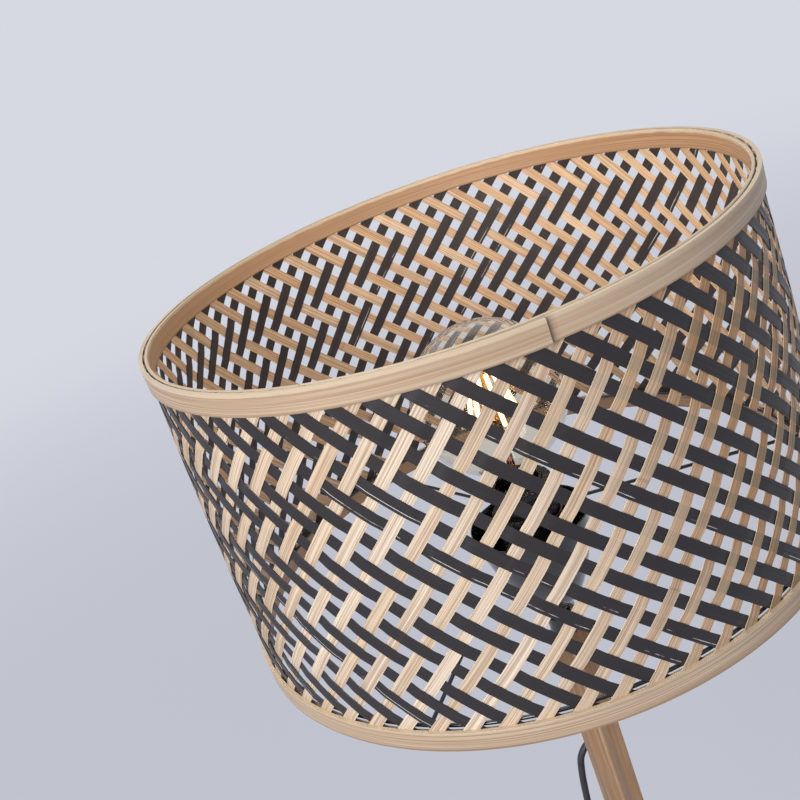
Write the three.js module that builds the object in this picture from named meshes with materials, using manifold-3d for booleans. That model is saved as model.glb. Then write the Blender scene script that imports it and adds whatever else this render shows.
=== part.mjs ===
// Floor lamp with a drum shade woven from natural and black bamboo strips.
// Millimetres, +Z up, origin on the floor under the middle of the pole.
import * as THREE from "three";
import { mergeVertices } from "three/addons/utils/BufferGeometryUtils.js";
import Module from "manifold-3d";

const wasm = await Module();
wasm.setup();

// Fits and facets
const seatGap = 0.3;
const cutOverrun = 1;
const slideFit = 0.35;
const mergeTolerance = 1e-4;
const ringFacets = 60;
const innerRingFacets = 40;
const roundFacets = 24;
const turnedFacets = 20;
const smallFacets = 12;
const wireSides = 5;

// Base cross of two half lapped beams
const beamLength = 480;
const beamWidth = 44;
const beamHeight = 32;
const beamTipHeight = 18;
const beamTipRadius = 6;
const beamLevelLength = 96;
const beamBevel = 1.6;
const beamEaseShare = 0.45;
const padRadius = 15;
const padHeight = 4;
const padInset = 26;

// Pole of two square sections with rounded edges
const poleWidth = 26;
const poleEdgeRadius = 3;
const lowerPoleLength = 553;
const upperPoleLength = 553;

// Bolt, stud and the brass sleeves they turn in
const boltRadius = 4;
const boltHeadRadius = 6.5;
const boltHeadHeight = 5;
const boltReach = 20;
const hexSocketRadius = 3.4;
const hexSocketDepth = 3;
const washerRadius = 10;
const washerThickness = 1.6;
const counterboreRadius = 11.5;
const counterboreDepth = 10;
const sleeveRadius = 6;
const sleeveLength = 22;
const sleeveFlangeRadius = 7.5;
const sleeveFlangeHeight = 1.2;
const studLength = 42;

// Black turned collar on the pole, with the lug that the cord leaves by
const collarRadius = 13;
const collarHeight = 18;
const collarRound = 2;
const spigotRadius = 6;
const spigotLength = 22;
const lugReachX = 19.5;
const lugReachY = 9;
const lugRadius = 6.6;
const lugHeight = 12;
const lugDrop = 2.5;
const channelRadius = 3.9;
const grubRadius = 1.8;
const grubLength = 5;
const grubHeight = 14;

// Neck tube and the bowl that hides the lampholder's foot
const neckRadius = 7.5;
const neckWall = 1.7;
const neckSeatDepth = 15;
const neckShow = 7;
const flangeRadius = 9.6;
const flangeHeight = 4;
const bowlRimRadius = 50;
const bowlDepth = 84;
const bowlWall = 1.2;
const bowlFloorRadius = 12;
const bowlFullnessShare = 0.62;
const bowlRows = 6;
const bowlNutRadius = 11;
const bowlNutHeight = 5;

// Lampholder
const hubClearance = 4;
const holderRadius = 20;
const holderWall = 1.6;
const holderBelowHub = 22;
const holderAboveHub = 31;
const holderFlangeRadius = 24;
const holderFlangeHeight = 2.4;
const holderThreadRise = 0.7;
const holderThreadPitch = 6.4;
const holderThreads = 4;
const capHeight = 21;
const capNeckRadius = 10;
const capNeckHeight = 7;
const coreRadius = 16.5;
const coreHeight = 14;
const coreSocketRadius = 9;
const coreSocketDepth = 4;
const contactRadius = 4.5;
const contactHeight = 6;
const shellRadius = 13.5;
const shellWall = 0.9;
const shellHeight = 26;
const clampRingRadius = 28;
const clampRingHeight = 7;
const clampRingBevel = 1.2;
const spareRingDrop = 1.5;

// Wire frame that carries the shade
const hubPlateRadius = 30;
const hubPlateThickness = 1.6;
const frameWireRadius = 1.5;
const frameRise = 16;
const frameArms = 3;
const frameArmStart = 28.6;
const frameArmTurn = THREE.MathUtils.degToRad(-162.6);

// Shade
const shadeHeight = 271;
const shadeTopRadius = 235;
const shadeFlare = 5;
const wallBulge = 2;
const topHoopHeight = 16.2;
const bottomHoopHeight = 15.3;
const bottomInnerHoopHeight = 13.4;
const outerHoopThickness = 2.8;
const innerHoopThickness = 2.2;
const stripsPerWay = 60;
const stripThickness = 0.8;
const stripGap = 0.4;
const stripSag = 0.8;
const stripTuck = 5;
const stripBandTuck = 2;
const stripSteps = 4;
const naturalStripWidth = 8.7;
const naturalStripTurn = THREE.MathUtils.degToRad(-0.14);
const naturalStripSweep = THREE.MathUtils.degToRad(56);
const blackStripWidth = 9.2;
const blackStripTurn = THREE.MathUtils.degToRad(2.96);
const blackStripSweep = THREE.MathUtils.degToRad(-59.2);
const lapLength = 95;
const lapRise = 2.4;
const topLapTurn = THREE.MathUtils.degToRad(-125);
const bottomLapTurn = THREE.MathUtils.degToRad(48);

// Bulb
const globeRadius = 62.5;
const globeWall = 1;
const globeAboveTip = 112;
const globeRows = 8;
const bulbNeckRadius = 16;
const bulbCollarRadius = 10.6;
const bulbCapRadius = 12.4;
const bulbCapHeight = 24;
const bulbCapWall = 1.2;
const bulbThreadRise = 0.8;
const bulbThreads = 4;
const bulbThreadPitch = 4;
const bulbCapLip = 3;
const bulbTipRadius = 5;
const bulbTipHeight = 3;
const stemRadius = 3.2;
const stemFlareRadius = 8.6;
const stemFlareHeight = 12;
const filamentCount = 6;
const filamentRadius = 1.2;
const filamentLength = 40;
const filamentTopRadius = 11;
const filamentFootRadius = 20;
const filamentWireRadius = 0.8;
const filamentHubRadius = 4.6;
const filamentHubHeight = 3;

// Cord
const cordRadius = 3.25;
const cordSides = 8;
const coilSides = 6;
const leadRadius = 2.6;
const leadSteps = 18;
const reliefLength = 24;
const reliefTopRadius = 5.4;
const reliefEndRadius = 4.1;
const reliefTuck = 3;
const cordRunSteps = 62;
const cordLinkSteps = 22;
const cordEndSteps = 7;

// Coil of spare cord
const coilMiddleRadius = 36.4;
const coilPitch = 7;
const coilTurns = 5.5;
const coilStepsPerTurn = 20;
const coilCentreX = -185;
const coilCentreY = 75;
const coilLift = 1.4;
const tieWidth = 9;
const tieThickness = 1;
const tieTurn = THREE.MathUtils.degToRad(-100);
const tieSlack = 0.6;

// Foot switch
const switchX = -80;
const switchY = 165;
const switchRadius = 30;
const switchBaseHeight = 8;
const switchCoverHeight = 13;
const switchWall = 2;
const switchEdge = 4;
const buttonRadius = 11;
const buttonShow = 4;
const buttonEdge = 1.5;
const buttonSkirtRadius = 13.5;
const buttonSkirtHeight = 1.6;
const buttonFit = 0.5;
const switchSpringRadius = 6.5;
const switchSpringWire = 0.6;
const switchSpringTurns = 4;
const switchSpringSteps = 8;
const switchSpringSides = 5;
const switchCordHeight = 7;
const switchReliefLength = 12;
const switchReliefRadius = 5.2;
const switchReliefTuck = 3;
const switchScrewRadius = 2.8;
const switchScrewHeight = 2;
const switchScrewReach = 20;

// Flat two pin plug
const plugX = -139;
const plugReliefStart = 112;
const plugReliefLength = 14;
const plugBodyLength = 36;
const plugBodyWidth = 35.3;
const plugBodyThickness = 13.7;
const plugEndWidth = 20;
const plugCornerRadius = 5;
const plugBevel = 2;
const pinRadius = 2;
const pinSpacing = 18.6;
const pinLength = 19;
const pinTuck = 5;

// Heights, each worked out from what stands below it
const baseTop = padHeight + beamHeight;
const lapHeight = padHeight + beamHeight / 2;
const lowerPoleBottom = baseTop + seatGap;
const poleJoint = lowerPoleBottom + lowerPoleLength;
const upperPoleBottom = poleJoint + seatGap;
const poleTop = upperPoleBottom + upperPoleLength;
const collarBottom = poleTop + seatGap;
const collarTop = collarBottom + collarHeight;
const neckBottom = collarTop - neckSeatDepth;
const flangeBottom = collarTop + neckShow;
const bowlBottom = flangeBottom + flangeHeight + seatGap;
const bowlRim = bowlBottom + bowlDepth;
const hubHeight = bowlRim + hubClearance;
const holderBottom = hubHeight - holderBelowHub;
const holderTop = hubHeight + holderAboveHub;
const capTop = holderBottom - seatGap;
const capBottom = capTop - capHeight;
const neckTop = capBottom + capNeckHeight;
const frameRingHeight = hubHeight - frameRise;
const shadeBottom = frameRingHeight - frameWireRadius - seatGap - bottomInnerHoopHeight;
const shadeTop = shadeBottom + shadeHeight;
const coreBottom = holderBottom + holderWall + seatGap;
const coreTop = coreBottom + coreHeight;
const contactBottom = coreTop - coreSocketDepth + seatGap;
const bulbTip = contactBottom + contactHeight + seatGap;
const bulbCapBottom = bulbTip + bulbTipHeight;
const bulbCapTop = bulbCapBottom + bulbCapHeight;
const globeHeight = bulbTip + globeAboveTip;
const reliefBottom = collarBottom + lugDrop - reliefLength;

// The hanging stretch of the cord, from the strain relief to the foot switch
const cordRunRoute = [
  [19.5, 9, 1117],
  [19.6, 7.5, 1104],
  [18.6, 2, 1086],
  [17.8, -2.6, 1064],
  [18.2, -3, 1044],
  [19.8, 1.5, 1028],
  [20.2, 9.5, 1016],
  [16.8, 17.4, 1009],
  [9.5, 22.4, 1004.5],
  [2, 27, 999.5],
  [-4, 30.6, 991],
  [-7, 32.5, 977],
  [-9.4, 34.2, 955],
  [-11, 35.6, 930],
  [-12.6, 37.2, 890],
  [-16, 41, 720],
  [-21, 45.5, 520],
  [-28, 50.5, 320],
  [-35, 55.5, 180],
  [-42, 61, 100],
  [-48, 68, 56],
  [-56, 79, 26],
  [-66, 93, 10],
  [-74.5, 104, 6.2],
  [-78.8, 111.5, 6.8],
  [-80, 118, 7],
];

// The stretch from the foot switch round to the coil
const cordLinkRoute = [
  [-80, 212, 6.8],
  [-85, 222.5, 5],
  [-97, 230.5, 3.7],
  [-114, 233.5, 3.5],
  [-138, 232.5, 3.5],
  [-163, 226, 3.5],
  [-190, 210, 3.5],
  [-212, 183, 3.7],
  [-225, 148, 4],
  [-230.3, 115, 4.4],
];

// Finishes
const bambooPale = finish("bamboo_pale", 0xd9b98c, 0.55, 0);
const bambooCaramel = finish("bamboo_caramel", 0xb98b5c, 0.5, 0);
const bambooBlack = finish("bamboo_black", 0x2b292c, 0.42, 0);
const blackGloss = finish("black_gloss", 0x141416, 0.18, 0);
const blackPlastic = finish("black_plastic", 0x1d1d1f, 0.5, 0);
const blackRubber = finish("black_rubber", 0x222224, 0.8, 0);
const steel = finish("steel", 0xb5b8ba, 0.32, 1);
const brass = finish("brass", 0xc9a45a, 0.35, 1);
const ceramic = finish("ceramic", 0xece8df, 0.4, 0);
const clearGlass = finish("clear_glass", 0xf3f1ea, 0.04, 0);
const amberGlow = finish("amber_glow", 0xffc069, 0.5, 0);

function finish(name, color, roughness, metalness) {
  return new THREE.MeshStandardMaterial({ name, color, roughness, metalness });
}

// Geometry helpers
function solidOf(geometry) {
  const bare = geometry.index ? geometry.toNonIndexed() : geometry.clone();
  bare.deleteAttribute("normal");
  bare.deleteAttribute("uv");
  const merged = mergeVertices(bare, mergeTolerance);
  const vertProperties = merged.attributes.position.array;
  const triVerts = new Uint32Array(merged.index.array);
  return new wasm.Manifold(new wasm.Mesh({ numProp: 3, vertProperties, triVerts }));
}

function geometryOf(solid) {
  const mesh = solid.getMesh();
  const geometry = new THREE.BufferGeometry();
  const positions = new THREE.BufferAttribute(new Float32Array(mesh.vertProperties), 3);
  geometry.setAttribute("position", positions);
  geometry.setIndex(new THREE.BufferAttribute(new Uint32Array(mesh.triVerts), 1));
  geometry.computeVertexNormals();
  return geometry;
}

function joined(...geometries) {
  return geometryOf(geometries.map(solidOf).reduce((sum, next) => sum.add(next)));
}

function cut(geometry, ...tools) {
  return geometryOf(tools.map(solidOf).reduce((rest, tool) => rest.subtract(tool), solidOf(geometry)));
}

// A turned piece: profile points are [radius, height], on the axis at both ends or closed
function turned(profile, facets = turnedFacets) {
  const closed = profile[0][0] > 0;
  const points = closed ? [...profile, profile[0]] : profile;
  let area = 0;
  points.forEach(([r, z], i) => {
    const [nextR, nextZ] = points[(i + 1) % points.length];
    area += r * nextZ - nextR * z;
  });
  const ordered = area > 0 ? points : [...points].reverse();
  const outline = ordered.map(([r, z]) => new THREE.Vector2(r, z));
  return new THREE.LatheGeometry(outline, facets).rotateX(Math.PI / 2);
}

function rod(radius, bottom, top, facets = smallFacets) {
  return turned([[0, bottom], [radius, bottom], [radius, top], [0, top]], facets);
}

function tubeRing(innerRadius, outerRadius, bottom, top, facets = turnedFacets) {
  const profile = [
    [innerRadius, bottom],
    [outerRadius, bottom],
    [outerRadius, top],
    [innerRadius, top],
  ];
  return turned(profile, facets);
}

function box(sizeX, sizeY, bottom, top) {
  const height = top - bottom;
  return new THREE.BoxGeometry(sizeX, sizeY, height).translate(0, 0, bottom + height / 2);
}

function prism(shape, bottom, top, curveSegments = 4) {
  const options = { depth: top - bottom, bevelEnabled: false, curveSegments };
  return new THREE.ExtrudeGeometry(shape, options).translate(0, 0, bottom);
}

function roundedRectangle(width, length, radius) {
  const shape = new THREE.Shape();
  const x = width / 2 - radius;
  const y = length / 2 - radius;
  shape.absarc(x, -y, radius, -Math.PI / 2, 0);
  shape.absarc(x, y, radius, 0, Math.PI / 2);
  shape.absarc(-x, y, radius, Math.PI / 2, Math.PI);
  shape.absarc(-x, -y, radius, Math.PI, Math.PI * 1.5);
  shape.closePath();
  return shape;
}

function hexagon(radius) {
  const corners = Array.from({ length: 6 }, (_, i) => {
    const turn = (i * Math.PI) / 3;
    return new THREE.Vector2(radius * Math.cos(turn), radius * Math.sin(turn));
  });
  return new THREE.Shape(corners);
}

function regularSection(radius, sides) {
  const corners = Array.from({ length: sides }, (_, i) => {
    const turn = (i * 2 * Math.PI) / sides;
    return new THREE.Vector2(radius * Math.cos(turn), radius * Math.sin(turn));
  });
  return new THREE.Shape(corners);
}

function sweep(curve, radius, steps, sides) {
  const options = { steps, extrudePath: curve, bevelEnabled: false };
  return new THREE.ExtrudeGeometry(regularSection(radius, sides), options);
}

function smoothCurve(points) {
  const list = points.map((p) => new THREE.Vector3(...p));
  return new THREE.CatmullRomCurve3(list, false, "centripetal");
}

function straightRod(from, to, radius, sides) {
  return sweep(new THREE.LineCurve3(new THREE.Vector3(...from), new THREE.Vector3(...to)), radius, 1, sides);
}

const lamp = new THREE.Group();

function addPiece(name, geometry, material, parent = lamp) {
  const mesh = new THREE.Mesh(geometry, material);
  mesh.name = name;
  parent.add(mesh);
  return mesh;
}

// Base
function beamProfile() {
  const half = beamLength / 2;
  const level = beamLevelLength / 2;
  const shoulder = half - beamTipRadius;
  const rise = shoulder - level;
  const outerEase = shoulder - rise * beamEaseShare;
  const innerEase = level + rise * beamEaseShare;
  const shape = new THREE.Shape();
  shape.moveTo(-half, 0);
  shape.lineTo(half, 0);
  shape.lineTo(half, beamTipHeight - beamTipRadius);
  shape.quadraticCurveTo(half, beamTipHeight, shoulder, beamTipHeight);
  shape.bezierCurveTo(outerEase, beamTipHeight, innerEase, beamHeight, level, beamHeight);
  shape.lineTo(-level, beamHeight);
  shape.bezierCurveTo(-innerEase, beamHeight, -outerEase, beamTipHeight, -shoulder, beamTipHeight);
  shape.quadraticCurveTo(-half, beamTipHeight, -half, beamTipHeight - beamTipRadius);
  shape.closePath();
  return shape;
}

function beamBlank() {
  const options = {
    depth: beamWidth - 2 * beamBevel,
    bevelThickness: beamBevel,
    bevelSize: beamBevel,
    bevelOffset: -beamBevel,
    bevelSegments: 1,
    curveSegments: 6,
  };
  const blank = new THREE.ExtrudeGeometry(beamProfile(), options);
  return blank.rotateX(Math.PI / 2).translate(0, beamWidth / 2 - beamBevel, padHeight);
}

function addBase() {
  const notch = beamWidth + 2 * seatGap;
  const boltHole = rod(boltRadius + slideFit, padHeight - cutOverrun, baseTop + cutOverrun);
  const counterbore = rod(counterboreRadius, padHeight - cutOverrun, padHeight + counterboreDepth);
  const lowerNotch = box(notch, notch, lapHeight - seatGap / 2, baseTop + cutOverrun);
  const upperNotch = box(notch, notch, padHeight - cutOverrun, lapHeight + seatGap / 2);
  addPiece("base_beam_lower", cut(beamBlank(), lowerNotch, boltHole, counterbore), bambooCaramel);
  const upper = beamBlank().rotateZ(Math.PI / 2);
  addPiece("base_beam_upper", cut(upper, upperNotch, boltHole), bambooCaramel);
  const reach = beamLength / 2 - padInset;
  const places = [[reach, 0], [0, reach], [-reach, 0], [0, -reach]];
  places.forEach(([x, y], i) => {
    const pad = rod(padRadius, 0, padHeight - seatGap, turnedFacets).translate(x, y, 0);
    addPiece(`foot_pad_${i + 1}`, pad, blackRubber);
  });
}

// Bolt from below, through both beams into the brass sleeve of the pole
function addBaseBolt() {
  const seat = padHeight + counterboreDepth;
  const washerBottom = seat - seatGap - washerThickness;
  const washer = tubeRing(boltRadius + slideFit, washerRadius, washerBottom, seat - seatGap);
  addPiece("base_washer", washer, steel);
  const headTop = washerBottom - seatGap;
  const headBottom = headTop - boltHeadHeight;
  const shank = rod(boltRadius, headTop - cutOverrun, lowerPoleBottom + boltReach);
  const head = rod(boltHeadRadius, headBottom, headTop, turnedFacets);
  const socket = prism(hexagon(hexSocketRadius), headBottom - cutOverrun, headBottom + hexSocketDepth);
  addPiece("base_bolt", cut(joined(head, shank), socket), steel);
}

function sleeve(mouth, towards) {
  const flangeEnd = mouth + towards * sleeveFlangeHeight;
  const end = mouth + towards * sleeveLength;
  const bore = boltRadius + seatGap;
  return turned([
    [bore, mouth],
    [sleeveFlangeRadius, mouth],
    [sleeveFlangeRadius, flangeEnd],
    [sleeveRadius, flangeEnd],
    [sleeveRadius, end],
    [bore, end],
  ], smallFacets);
}

function sleeveHole(mouth, towards) {
  const flangeEnd = mouth + towards * (sleeveFlangeHeight + seatGap);
  const end = mouth + towards * (sleeveLength + seatGap);
  const start = mouth - towards * cutOverrun;
  return turned([
    [0, start],
    [sleeveFlangeRadius + seatGap, start],
    [sleeveFlangeRadius + seatGap, flangeEnd],
    [sleeveRadius + seatGap, flangeEnd],
    [sleeveRadius + seatGap, end],
    [0, end],
  ], smallFacets);
}

// Pole
function addPole() {
  const section = roundedRectangle(poleWidth, poleWidth, poleEdgeRadius);
  const lower = prism(section, lowerPoleBottom, poleJoint, 4);
  const lowerHoles = [sleeveHole(lowerPoleBottom, 1), sleeveHole(poleJoint, -1)];
  addPiece("pole_lower", cut(lower, ...lowerHoles), bambooCaramel);
  const upper = prism(section, upperPoleBottom, poleTop, 4);
  const spigotHole = rod(spigotRadius + seatGap, poleTop - spigotLength, poleTop + cutOverrun);
  addPiece("pole_upper", cut(upper, sleeveHole(upperPoleBottom, 1), spigotHole), bambooCaramel);
  addPiece("base_sleeve", sleeve(lowerPoleBottom, 1), brass);
  addPiece("joint_sleeve_lower", sleeve(poleJoint, -1), brass);
  addPiece("joint_sleeve_upper", sleeve(upperPoleBottom, 1), brass);
  const joint = (poleJoint + upperPoleBottom) / 2;
  addPiece("joint_stud", rod(boltRadius, joint - studLength / 2, joint + studLength / 2), steel);
}

// Collar, with the channel that leads the cord from the neck to the lug
function lugShape() {
  const turn = Math.atan2(lugReachY, lugReachX);
  const reach = Math.hypot(lugReachX, lugReachY);
  const shape = new THREE.Shape();
  shape.absarc(0, 0, lugRadius, Math.PI / 2, Math.PI * 1.5);
  shape.absarc(reach, 0, lugRadius, -Math.PI / 2, Math.PI / 2);
  shape.closePath();
  return { shape, turn };
}

function leadCurve() {
  const channelHeight = collarBottom + lugDrop + lugHeight / 2;
  const bendShares = [
    [0.12, 0.55],
    [0.4, 0.04],
    [0.7, 0],
    [1, 0],
  ];
  const bend = bendShares.map(([out, up]) => [
    lugReachX * out,
    lugReachY * out,
    channelHeight + (collarTop - channelHeight) * up,
  ]);
  const straight = [coreBottom - seatGap, (coreBottom + collarTop) / 2, collarTop];
  return smoothCurve([...straight.map((height) => [0, 0, height]), ...bend]);
}

function addCollar() {
  const body = turned([
    [0, collarBottom - spigotLength + cutOverrun],
    [spigotRadius, collarBottom - spigotLength + cutOverrun],
    [spigotRadius, collarBottom],
    [collarRadius, collarBottom],
    [collarRadius, collarTop - collarRound],
    [collarRadius - collarRound, collarTop],
    [0, collarTop],
  ]);
  const lug = lugShape();
  const lugBottom = collarBottom + lugDrop;
  const arm = prism(lug.shape, lugBottom, lugBottom + lugHeight, 8).rotateZ(lug.turn);
  const neckSeat = rod(neckRadius + seatGap, neckBottom - seatGap, collarTop + cutOverrun, turnedFacets);
  const channel = sweep(leadCurve(), channelRadius, leadSteps, cordSides);
  const mouth = rod(reliefTopRadius, lugBottom - cutOverrun, lugBottom + reliefTuck + seatGap, turnedFacets);
  mouth.translate(lugReachX, lugReachY, 0);
  const grubStart = collarRadius + cutOverrun;
  const grubEnd = neckRadius + seatGap / 2;
  const grubZ = collarBottom + grubHeight;
  const grubHole = straightRod([0, grubStart, grubZ], [0, grubEnd, grubZ], grubRadius + seatGap, cordSides);
  const collar = cut(joined(body, arm), neckSeat, channel, mouth, grubHole);
  addPiece("pole_collar", collar, blackGloss);
  const grubInner = neckRadius + seatGap;
  const grub = straightRod([0, grubInner + grubLength, grubZ], [0, grubInner, grubZ], grubRadius, cordSides);
  addPiece("collar_grub_screw", grub, steel);
}

// Neck, bowl and lampholder
function addNeck() {
  const bore = neckRadius - neckWall;
  const lip = neckTop - seatGap;
  const exit = sweep(leadCurve(), channelRadius, leadSteps, cordSides);
  addPiece("neck_tube", cut(tubeRing(bore, neckRadius, neckBottom, lip), exit), blackGloss);
  const flangeInner = neckRadius + seatGap;
  const flangeTop = flangeBottom + flangeHeight;
  addPiece("neck_flange", tubeRing(flangeInner, flangeRadius, flangeBottom, flangeTop), blackGloss);
}

function bowlRadiusAt(share) {
  const belly = Math.sqrt(1 - (1 - share) ** 2);
  const straight = share;
  const mix = bowlFullnessShare * belly + (1 - bowlFullnessShare) * straight;
  return bowlFloorRadius + (bowlRimRadius - bowlFloorRadius) * mix;
}

function addBowl() {
  const hole = neckRadius + seatGap;
  const outside = [[hole, bowlBottom], [bowlFloorRadius, bowlBottom]];
  const inside = [[hole, bowlBottom + bowlWall], [bowlFloorRadius - bowlWall, bowlBottom + bowlWall]];
  for (let i = 1; i <= bowlRows; i += 1) {
    const share = i / bowlRows;
    const radius = bowlRadiusAt(share);
    outside.push([radius, bowlBottom + share * bowlDepth]);
    inside.push([radius - bowlWall, bowlBottom + bowlWall + share * (bowlDepth - bowlWall)]);
  }
  addPiece("holder_bowl", turned([...outside, ...inside.reverse()], roundFacets), blackGloss);
  const nutBottom = bowlBottom + bowlWall + seatGap;
  const nut = prism(hexagon(bowlNutRadius), nutBottom, nutBottom + bowlNutHeight);
  const nutBore = rod(hole, nutBottom - cutOverrun, nutBottom + bowlNutHeight + cutOverrun, turnedFacets);
  addPiece("bowl_nut", cut(nut, nutBore), steel);
}

function threadedProfile(radius, rise, pitch, start, count) {
  const points = [];
  for (let i = 0; i < count; i += 1) {
    points.push([radius, start + i * pitch], [radius + rise, start + (i + 0.5) * pitch]);
  }
  points.push([radius, start + count * pitch]);
  return points;
}

function addHolderShell() {
  const inner = holderRadius - holderWall;
  const flangeTop = hubHeight - hubPlateThickness / 2 - seatGap;
  const flangeBottomZ = flangeTop - holderFlangeHeight;
  const threadStart = flangeTop + hubPlateThickness + 2 * seatGap;
  const floorHole = channelRadius;
  const profile = [
    [floorHole, holderBottom],
    [holderRadius, holderBottom],
    [holderRadius, flangeBottomZ],
    [holderFlangeRadius, flangeBottomZ],
    [holderFlangeRadius, flangeTop],
    [holderRadius, flangeTop],
    ...threadedProfile(holderRadius, holderThreadRise, holderThreadPitch, threadStart, holderThreads),
    [holderRadius, holderTop],
    [inner, holderTop],
    [inner, holderBottom + holderWall],
    [floorHole, holderBottom + holderWall],
  ];
  addPiece("lampholder_shell", turned(profile), blackGloss);
}

function addHolderCap() {
  const neckFit = neckRadius + seatGap;
  const leadFit = channelRadius;
  const profile = [
    [neckFit, capBottom],
    [capNeckRadius, capBottom],
    [capNeckRadius, capBottom + capNeckHeight],
    [holderRadius, capTop - capNeckHeight],
    [holderRadius, capTop],
    [leadFit, capTop],
    [leadFit, neckTop],
    [neckFit, neckTop],
  ];
  addPiece("lampholder_cap", turned(profile), blackGloss);
}

function addHolderInside() {
  const core = turned([
    [0, coreBottom],
    [coreRadius, coreBottom],
    [coreRadius, coreTop],
    [coreSocketRadius, coreTop],
    [coreSocketRadius, coreTop - coreSocketDepth],
    [0, coreTop - coreSocketDepth],
  ]);
  addPiece("lampholder_core", core, ceramic);
  const shoulder = contactBottom + contactHeight / 2;
  const contactTop = contactBottom + contactHeight;
  const contact = turned([
    [0, contactBottom],
    [contactRadius, contactBottom],
    [contactRadius, shoulder],
    [contactRadius / 2, contactTop],
    [0, contactTop],
  ], smallFacets);
  addPiece("centre_contact", contact, brass);
  const shellBottom = coreTop + seatGap;
  const outer = shellRadius + shellWall;
  addPiece("screw_shell", tubeRing(shellRadius, outer, shellBottom, shellBottom + shellHeight), brass);
}

function clampRing(bottom) {
  const inner = holderRadius + holderThreadRise + seatGap;
  const top = bottom + clampRingHeight;
  return turned([
    [inner, bottom],
    [clampRingRadius - clampRingBevel, bottom],
    [clampRingRadius, bottom + clampRingBevel],
    [clampRingRadius, top - clampRingBevel],
    [clampRingRadius - clampRingBevel, top],
    [inner, top],
  ]);
}

function addClampRings() {
  const lower = hubHeight + hubPlateThickness / 2 + seatGap;
  addPiece("shade_ring_lower", clampRing(lower), blackGloss);
  const upper = holderTop - spareRingDrop - clampRingHeight;
  addPiece("shade_ring_upper", clampRing(upper), blackGloss);
}

// The lead inside, from the lampholder's terminals to the lug
function addLead() {
  addPiece("inner_lead", sweep(leadCurve(), leadRadius, leadSteps, cordSides), blackRubber);
}

// Radii of the shade's layers, outside first
function hoopLayers(outerRadius) {
  const outerIn = outerRadius - outerHoopThickness;
  const naturalOut = outerIn - stripGap;
  const blackOut = naturalOut - stripThickness - stripGap;
  const innerOut = blackOut - stripThickness - stripGap - stripSag;
  return { outerIn, naturalOut, blackOut, innerOut, innerIn: innerOut - innerHoopThickness };
}

const topLayers = hoopLayers(shadeTopRadius);
const bottomLayers = hoopLayers(shadeTopRadius + shadeFlare);

function addShadeFrame() {
  const plateInner = holderRadius + holderThreadRise + seatGap;
  const plateBottom = hubHeight - hubPlateThickness / 2;
  const plate = tubeRing(plateInner, hubPlateRadius, plateBottom, plateBottom + hubPlateThickness);
  const ringRadius = bottomLayers.innerOut - frameWireRadius - seatGap;
  const ring = new THREE.TorusGeometry(ringRadius, frameWireRadius, wireSides, innerRingFacets);
  ring.translate(0, 0, frameRingHeight);
  const pieces = [plate, ring];
  for (let i = 0; i < frameArms; i += 1) {
    const turn = frameArmTurn + (i * 2 * Math.PI) / frameArms;
    const arm = straightRod(
      [frameArmStart, 0, hubHeight],
      [ringRadius, 0, frameRingHeight],
      frameWireRadius,
      wireSides,
    );
    pieces.push(arm.rotateZ(turn));
  }
  addPiece("shade_frame", joined(...pieces), blackGloss);
}

function polar(radius, turn) {
  return new THREE.Vector2(radius * Math.cos(turn), radius * Math.sin(turn));
}

function plainHoop(innerRadius, thickness, bottom, height, facets) {
  return tubeRing(innerRadius, innerRadius + thickness, bottom, bottom + height, facets);
}

function lappedHoop(innerRadius, thickness, bottom, height, lapTurn) {
  const outer = innerRadius + thickness;
  const ring = plainHoop(innerRadius, thickness, bottom, height, ringFacets);
  const lapAngle = lapLength / outer;
  const steps = 8;
  const near = [];
  const far = [];
  for (let i = 0; i <= steps; i += 1) {
    const share = i / steps;
    const turn = lapTurn - share * lapAngle;
    near.push(polar(outer - thickness / 2, turn));
    far.push(polar(outer + lapRise * (1 - share), turn));
  }
  const shape = new THREE.Shape([...near, ...far.reverse()]);
  return joined(ring, prism(shape, bottom, bottom + height));
}

function addHoops() {
  const top = shadeTop - topHoopHeight;
  const bottom = shadeBottom;
  const topOuter = lappedHoop(topLayers.outerIn, outerHoopThickness, top, topHoopHeight, topLapTurn);
  addPiece("top_hoop_outer", topOuter, bambooPale);
  const innerThickness = innerHoopThickness;
  const topInner = plainHoop(topLayers.innerIn, innerThickness, top, topHoopHeight, innerRingFacets);
  addPiece("top_hoop_inner", topInner, bambooPale);
  const outerIn = bottomLayers.outerIn;
  const bottomOuter = lappedHoop(outerIn, outerHoopThickness, bottom, bottomHoopHeight, bottomLapTurn);
  addPiece("bottom_hoop_outer", bottomOuter, bambooPale);
  const innerHeight = bottomInnerHoopHeight;
  const bottomInner = plainHoop(bottomLayers.innerIn, innerThickness, bottom, innerHeight, innerRingFacets);
  addPiece("bottom_hoop_inner", bottomInner, bambooPale);
}

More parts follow.
